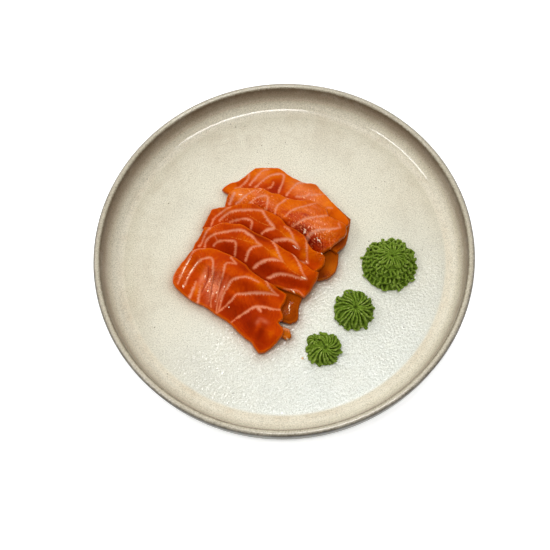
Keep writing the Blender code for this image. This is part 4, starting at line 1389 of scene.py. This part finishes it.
def make_wasabi(groups):
    """Each rosette's strands and cores, leaned over and melted into one skin."""
    finish = wasabi_material(groups)
    for seed, (name, shape) in enumerate(ROSETTES.items()):
        random = np.random.default_rng(SEED + seed)
        bodies = []
        for tier in shape["tiers"]:
            made = tier_strands(tier, random)
            place = np.array([*tier.get("centre", (0, 0)), 0])
            sunk = CORE_DEPTH * tier["deep"]
            core = [(max(r - sunk, CORE_LEAST), max(z - sunk, CORE_LEAST)) for r, z in tier["line"]]
            made.append(lathe([(core[-1][0], 0), *core[::-1]], CORE_SIDES, tier.get("sector", (0, 360))))
            bodies += [(points + place, faces) for points, faces in made]
        points, faces = join_bodies(bodies)
        tallest = points[:, 2].max()
        points[:, :2] += np.array(shape["lean"]) * (np.maximum(points[:, 2:], 0) / tallest) ** 1.5
        points[:, 2] = np.maximum(points[:, 2], 0)
        points, faces, edges, normals = melt_together(points, faces, PASTE_GRAIN)
        for size, rough in PASTE_LUMPS:
            points += (rough * wander(points, size, seed + 1))[:, None] * normals
        points[:, 2] = np.maximum(points[:, 2], 0)
        # How far the paste stands out, for its painted light on ridges and shade in grooves.
        ridge = np.clip(0.5 + standing_out(points, edges, normals, RIDGE_ROUNDS) / RIDGE_HEIGHT, 0, 1)
        piece = new_piece(name + "_rosette", points * MM, faces, finish, name, {"ridge": ridge})
        piece.location = (*shape["centre"], FLOOR_TOP + ROSETTE_GAP)


def make_crumb(groups):
    """A dried crumb of fish on the glaze."""
    mesh = bpy.data.meshes.new("crumb")
    ball = bmesh.new()
    bmesh.ops.create_icosphere(ball, subdivisions=4, radius=CRUMB_SIZE)
    for vertex in ball.verts:
        push = noise.noise(vertex.co / (CRUMB_LUMP_SIZE * CRUMB_SIZE))
        vertex.co *= 1 + CRUMB_LUMPS * push
        vertex.co.z *= CRUMB_FLATNESS
    ball.to_mesh(mesh)
    ball.free()
    mesh.materials.append(crumb_material(groups))
    mesh.shade_smooth()
    crumb = bpy.data.objects.new("crumb", mesh)
    bpy.context.scene.collection.objects.link(crumb)
    crumb.location = (*CRUMB_PLACE, FLOOR_TOP + CRUMB_LIFT * CRUMB_SIZE)


# ---------------------------------------------------------------- the studio


def make_table():
    bpy.ops.mesh.primitive_plane_add(size=TABLE_SIZE, location=(0, 0, -TABLE_DROP))
    table = bpy.context.object
    table.name = "white_table"
    table.data.materials.append(backdrop_material())


def add_light(name, centre, along, size, power):
    """A rectangular light that faces the plate, with its long side along a direction."""
    data = bpy.data.lights.new(name, "AREA")
    data.shape = "RECTANGLE"
    data.size, data.size_y = size
    data.energy = power
    light = bpy.data.objects.new(name, data)
    back = Vector(centre).normalized()
    side = (Vector(along) - Vector(along).dot(back) * back).normalized()
    frame_of = Matrix((side, back.cross(side), back)).transposed().to_4x4()
    light.matrix_world = Matrix.Translation(centre) @ frame_of
    bpy.context.scene.collection.objects.link(light)


def strip_light(name, start, end, width, power):
    """A light tube between two points."""
    start, end = Vector(start), Vector(end)
    add_light(name, (start + end) / 2, end - start, ((end - start).length, width), power)


def light_studio():
    """The light tubes, and a world that glows from above and all round."""
    for name, strip in STRIPS.items():
        strip_light(name, *strip)
    world = bpy.data.worlds.new("studio")
    world.use_nodes = True
    nodes = Nodes(world.node_tree)
    way = nodes.add("ShaderNodeTexCoord", {}).outputs["Generated"]
    total = ROOM_LIGHT
    for direction, spread, strength in GLOWS:
        lean = nodes.add("ShaderNodeVectorMath", {0: way, 1: direction}, operation="DOT_PRODUCT")
        edge = math.cos(math.radians(spread))
        total = nodes.plus(nodes.span(lean.outputs["Value"], edge, 1.0, 0.0, strength), total)
    background = world.node_tree.nodes["Background"]
    background.inputs["Color"].default_value = (1, 1, 1, 1)
    nodes.put(background.inputs["Strength"], total)
    bpy.context.scene.world = world
    bpy.context.scene.view_settings.view_transform = "Standard"


def add_camera():
    data = bpy.data.cameras.new("camera")
    data.lens = CAMERA_LENS
    data.sensor_width = SENSOR_WIDTH
    camera = bpy.data.objects.new("camera", data)
    tilt = math.pi / 2 - CAMERA_HEIGHT_ANGLE
    back = Vector((0, -math.sin(tilt), math.cos(tilt)))
    turn = Matrix.Rotation(tilt, 4, "X") @ Matrix.Rotation(CAMERA_ROLL, 4, "Z")
    camera.matrix_world = Matrix.Translation(CAMERA_AIM + CAMERA_DISTANCE * back) @ turn
    bpy.context.scene.collection.objects.link(camera)
    bpy.context.scene.camera = camera


def main():
    groups = {
        "mottle": mottle_group(), "speckle": speckle_group(),
        "grain": grain_group(), "fibre": fibre_group(),
    }
    before = set(bpy.data.objects)
    make_plate(groups)
    make_salmon(groups)
    make_wasabi(groups)
    make_crumb(groups)
    for piece in sorted(set(bpy.data.objects) - before, key=lambda obj: obj.name):
        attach(piece, "root")
    make_table()
    light_studio()
    add_camera()


main()
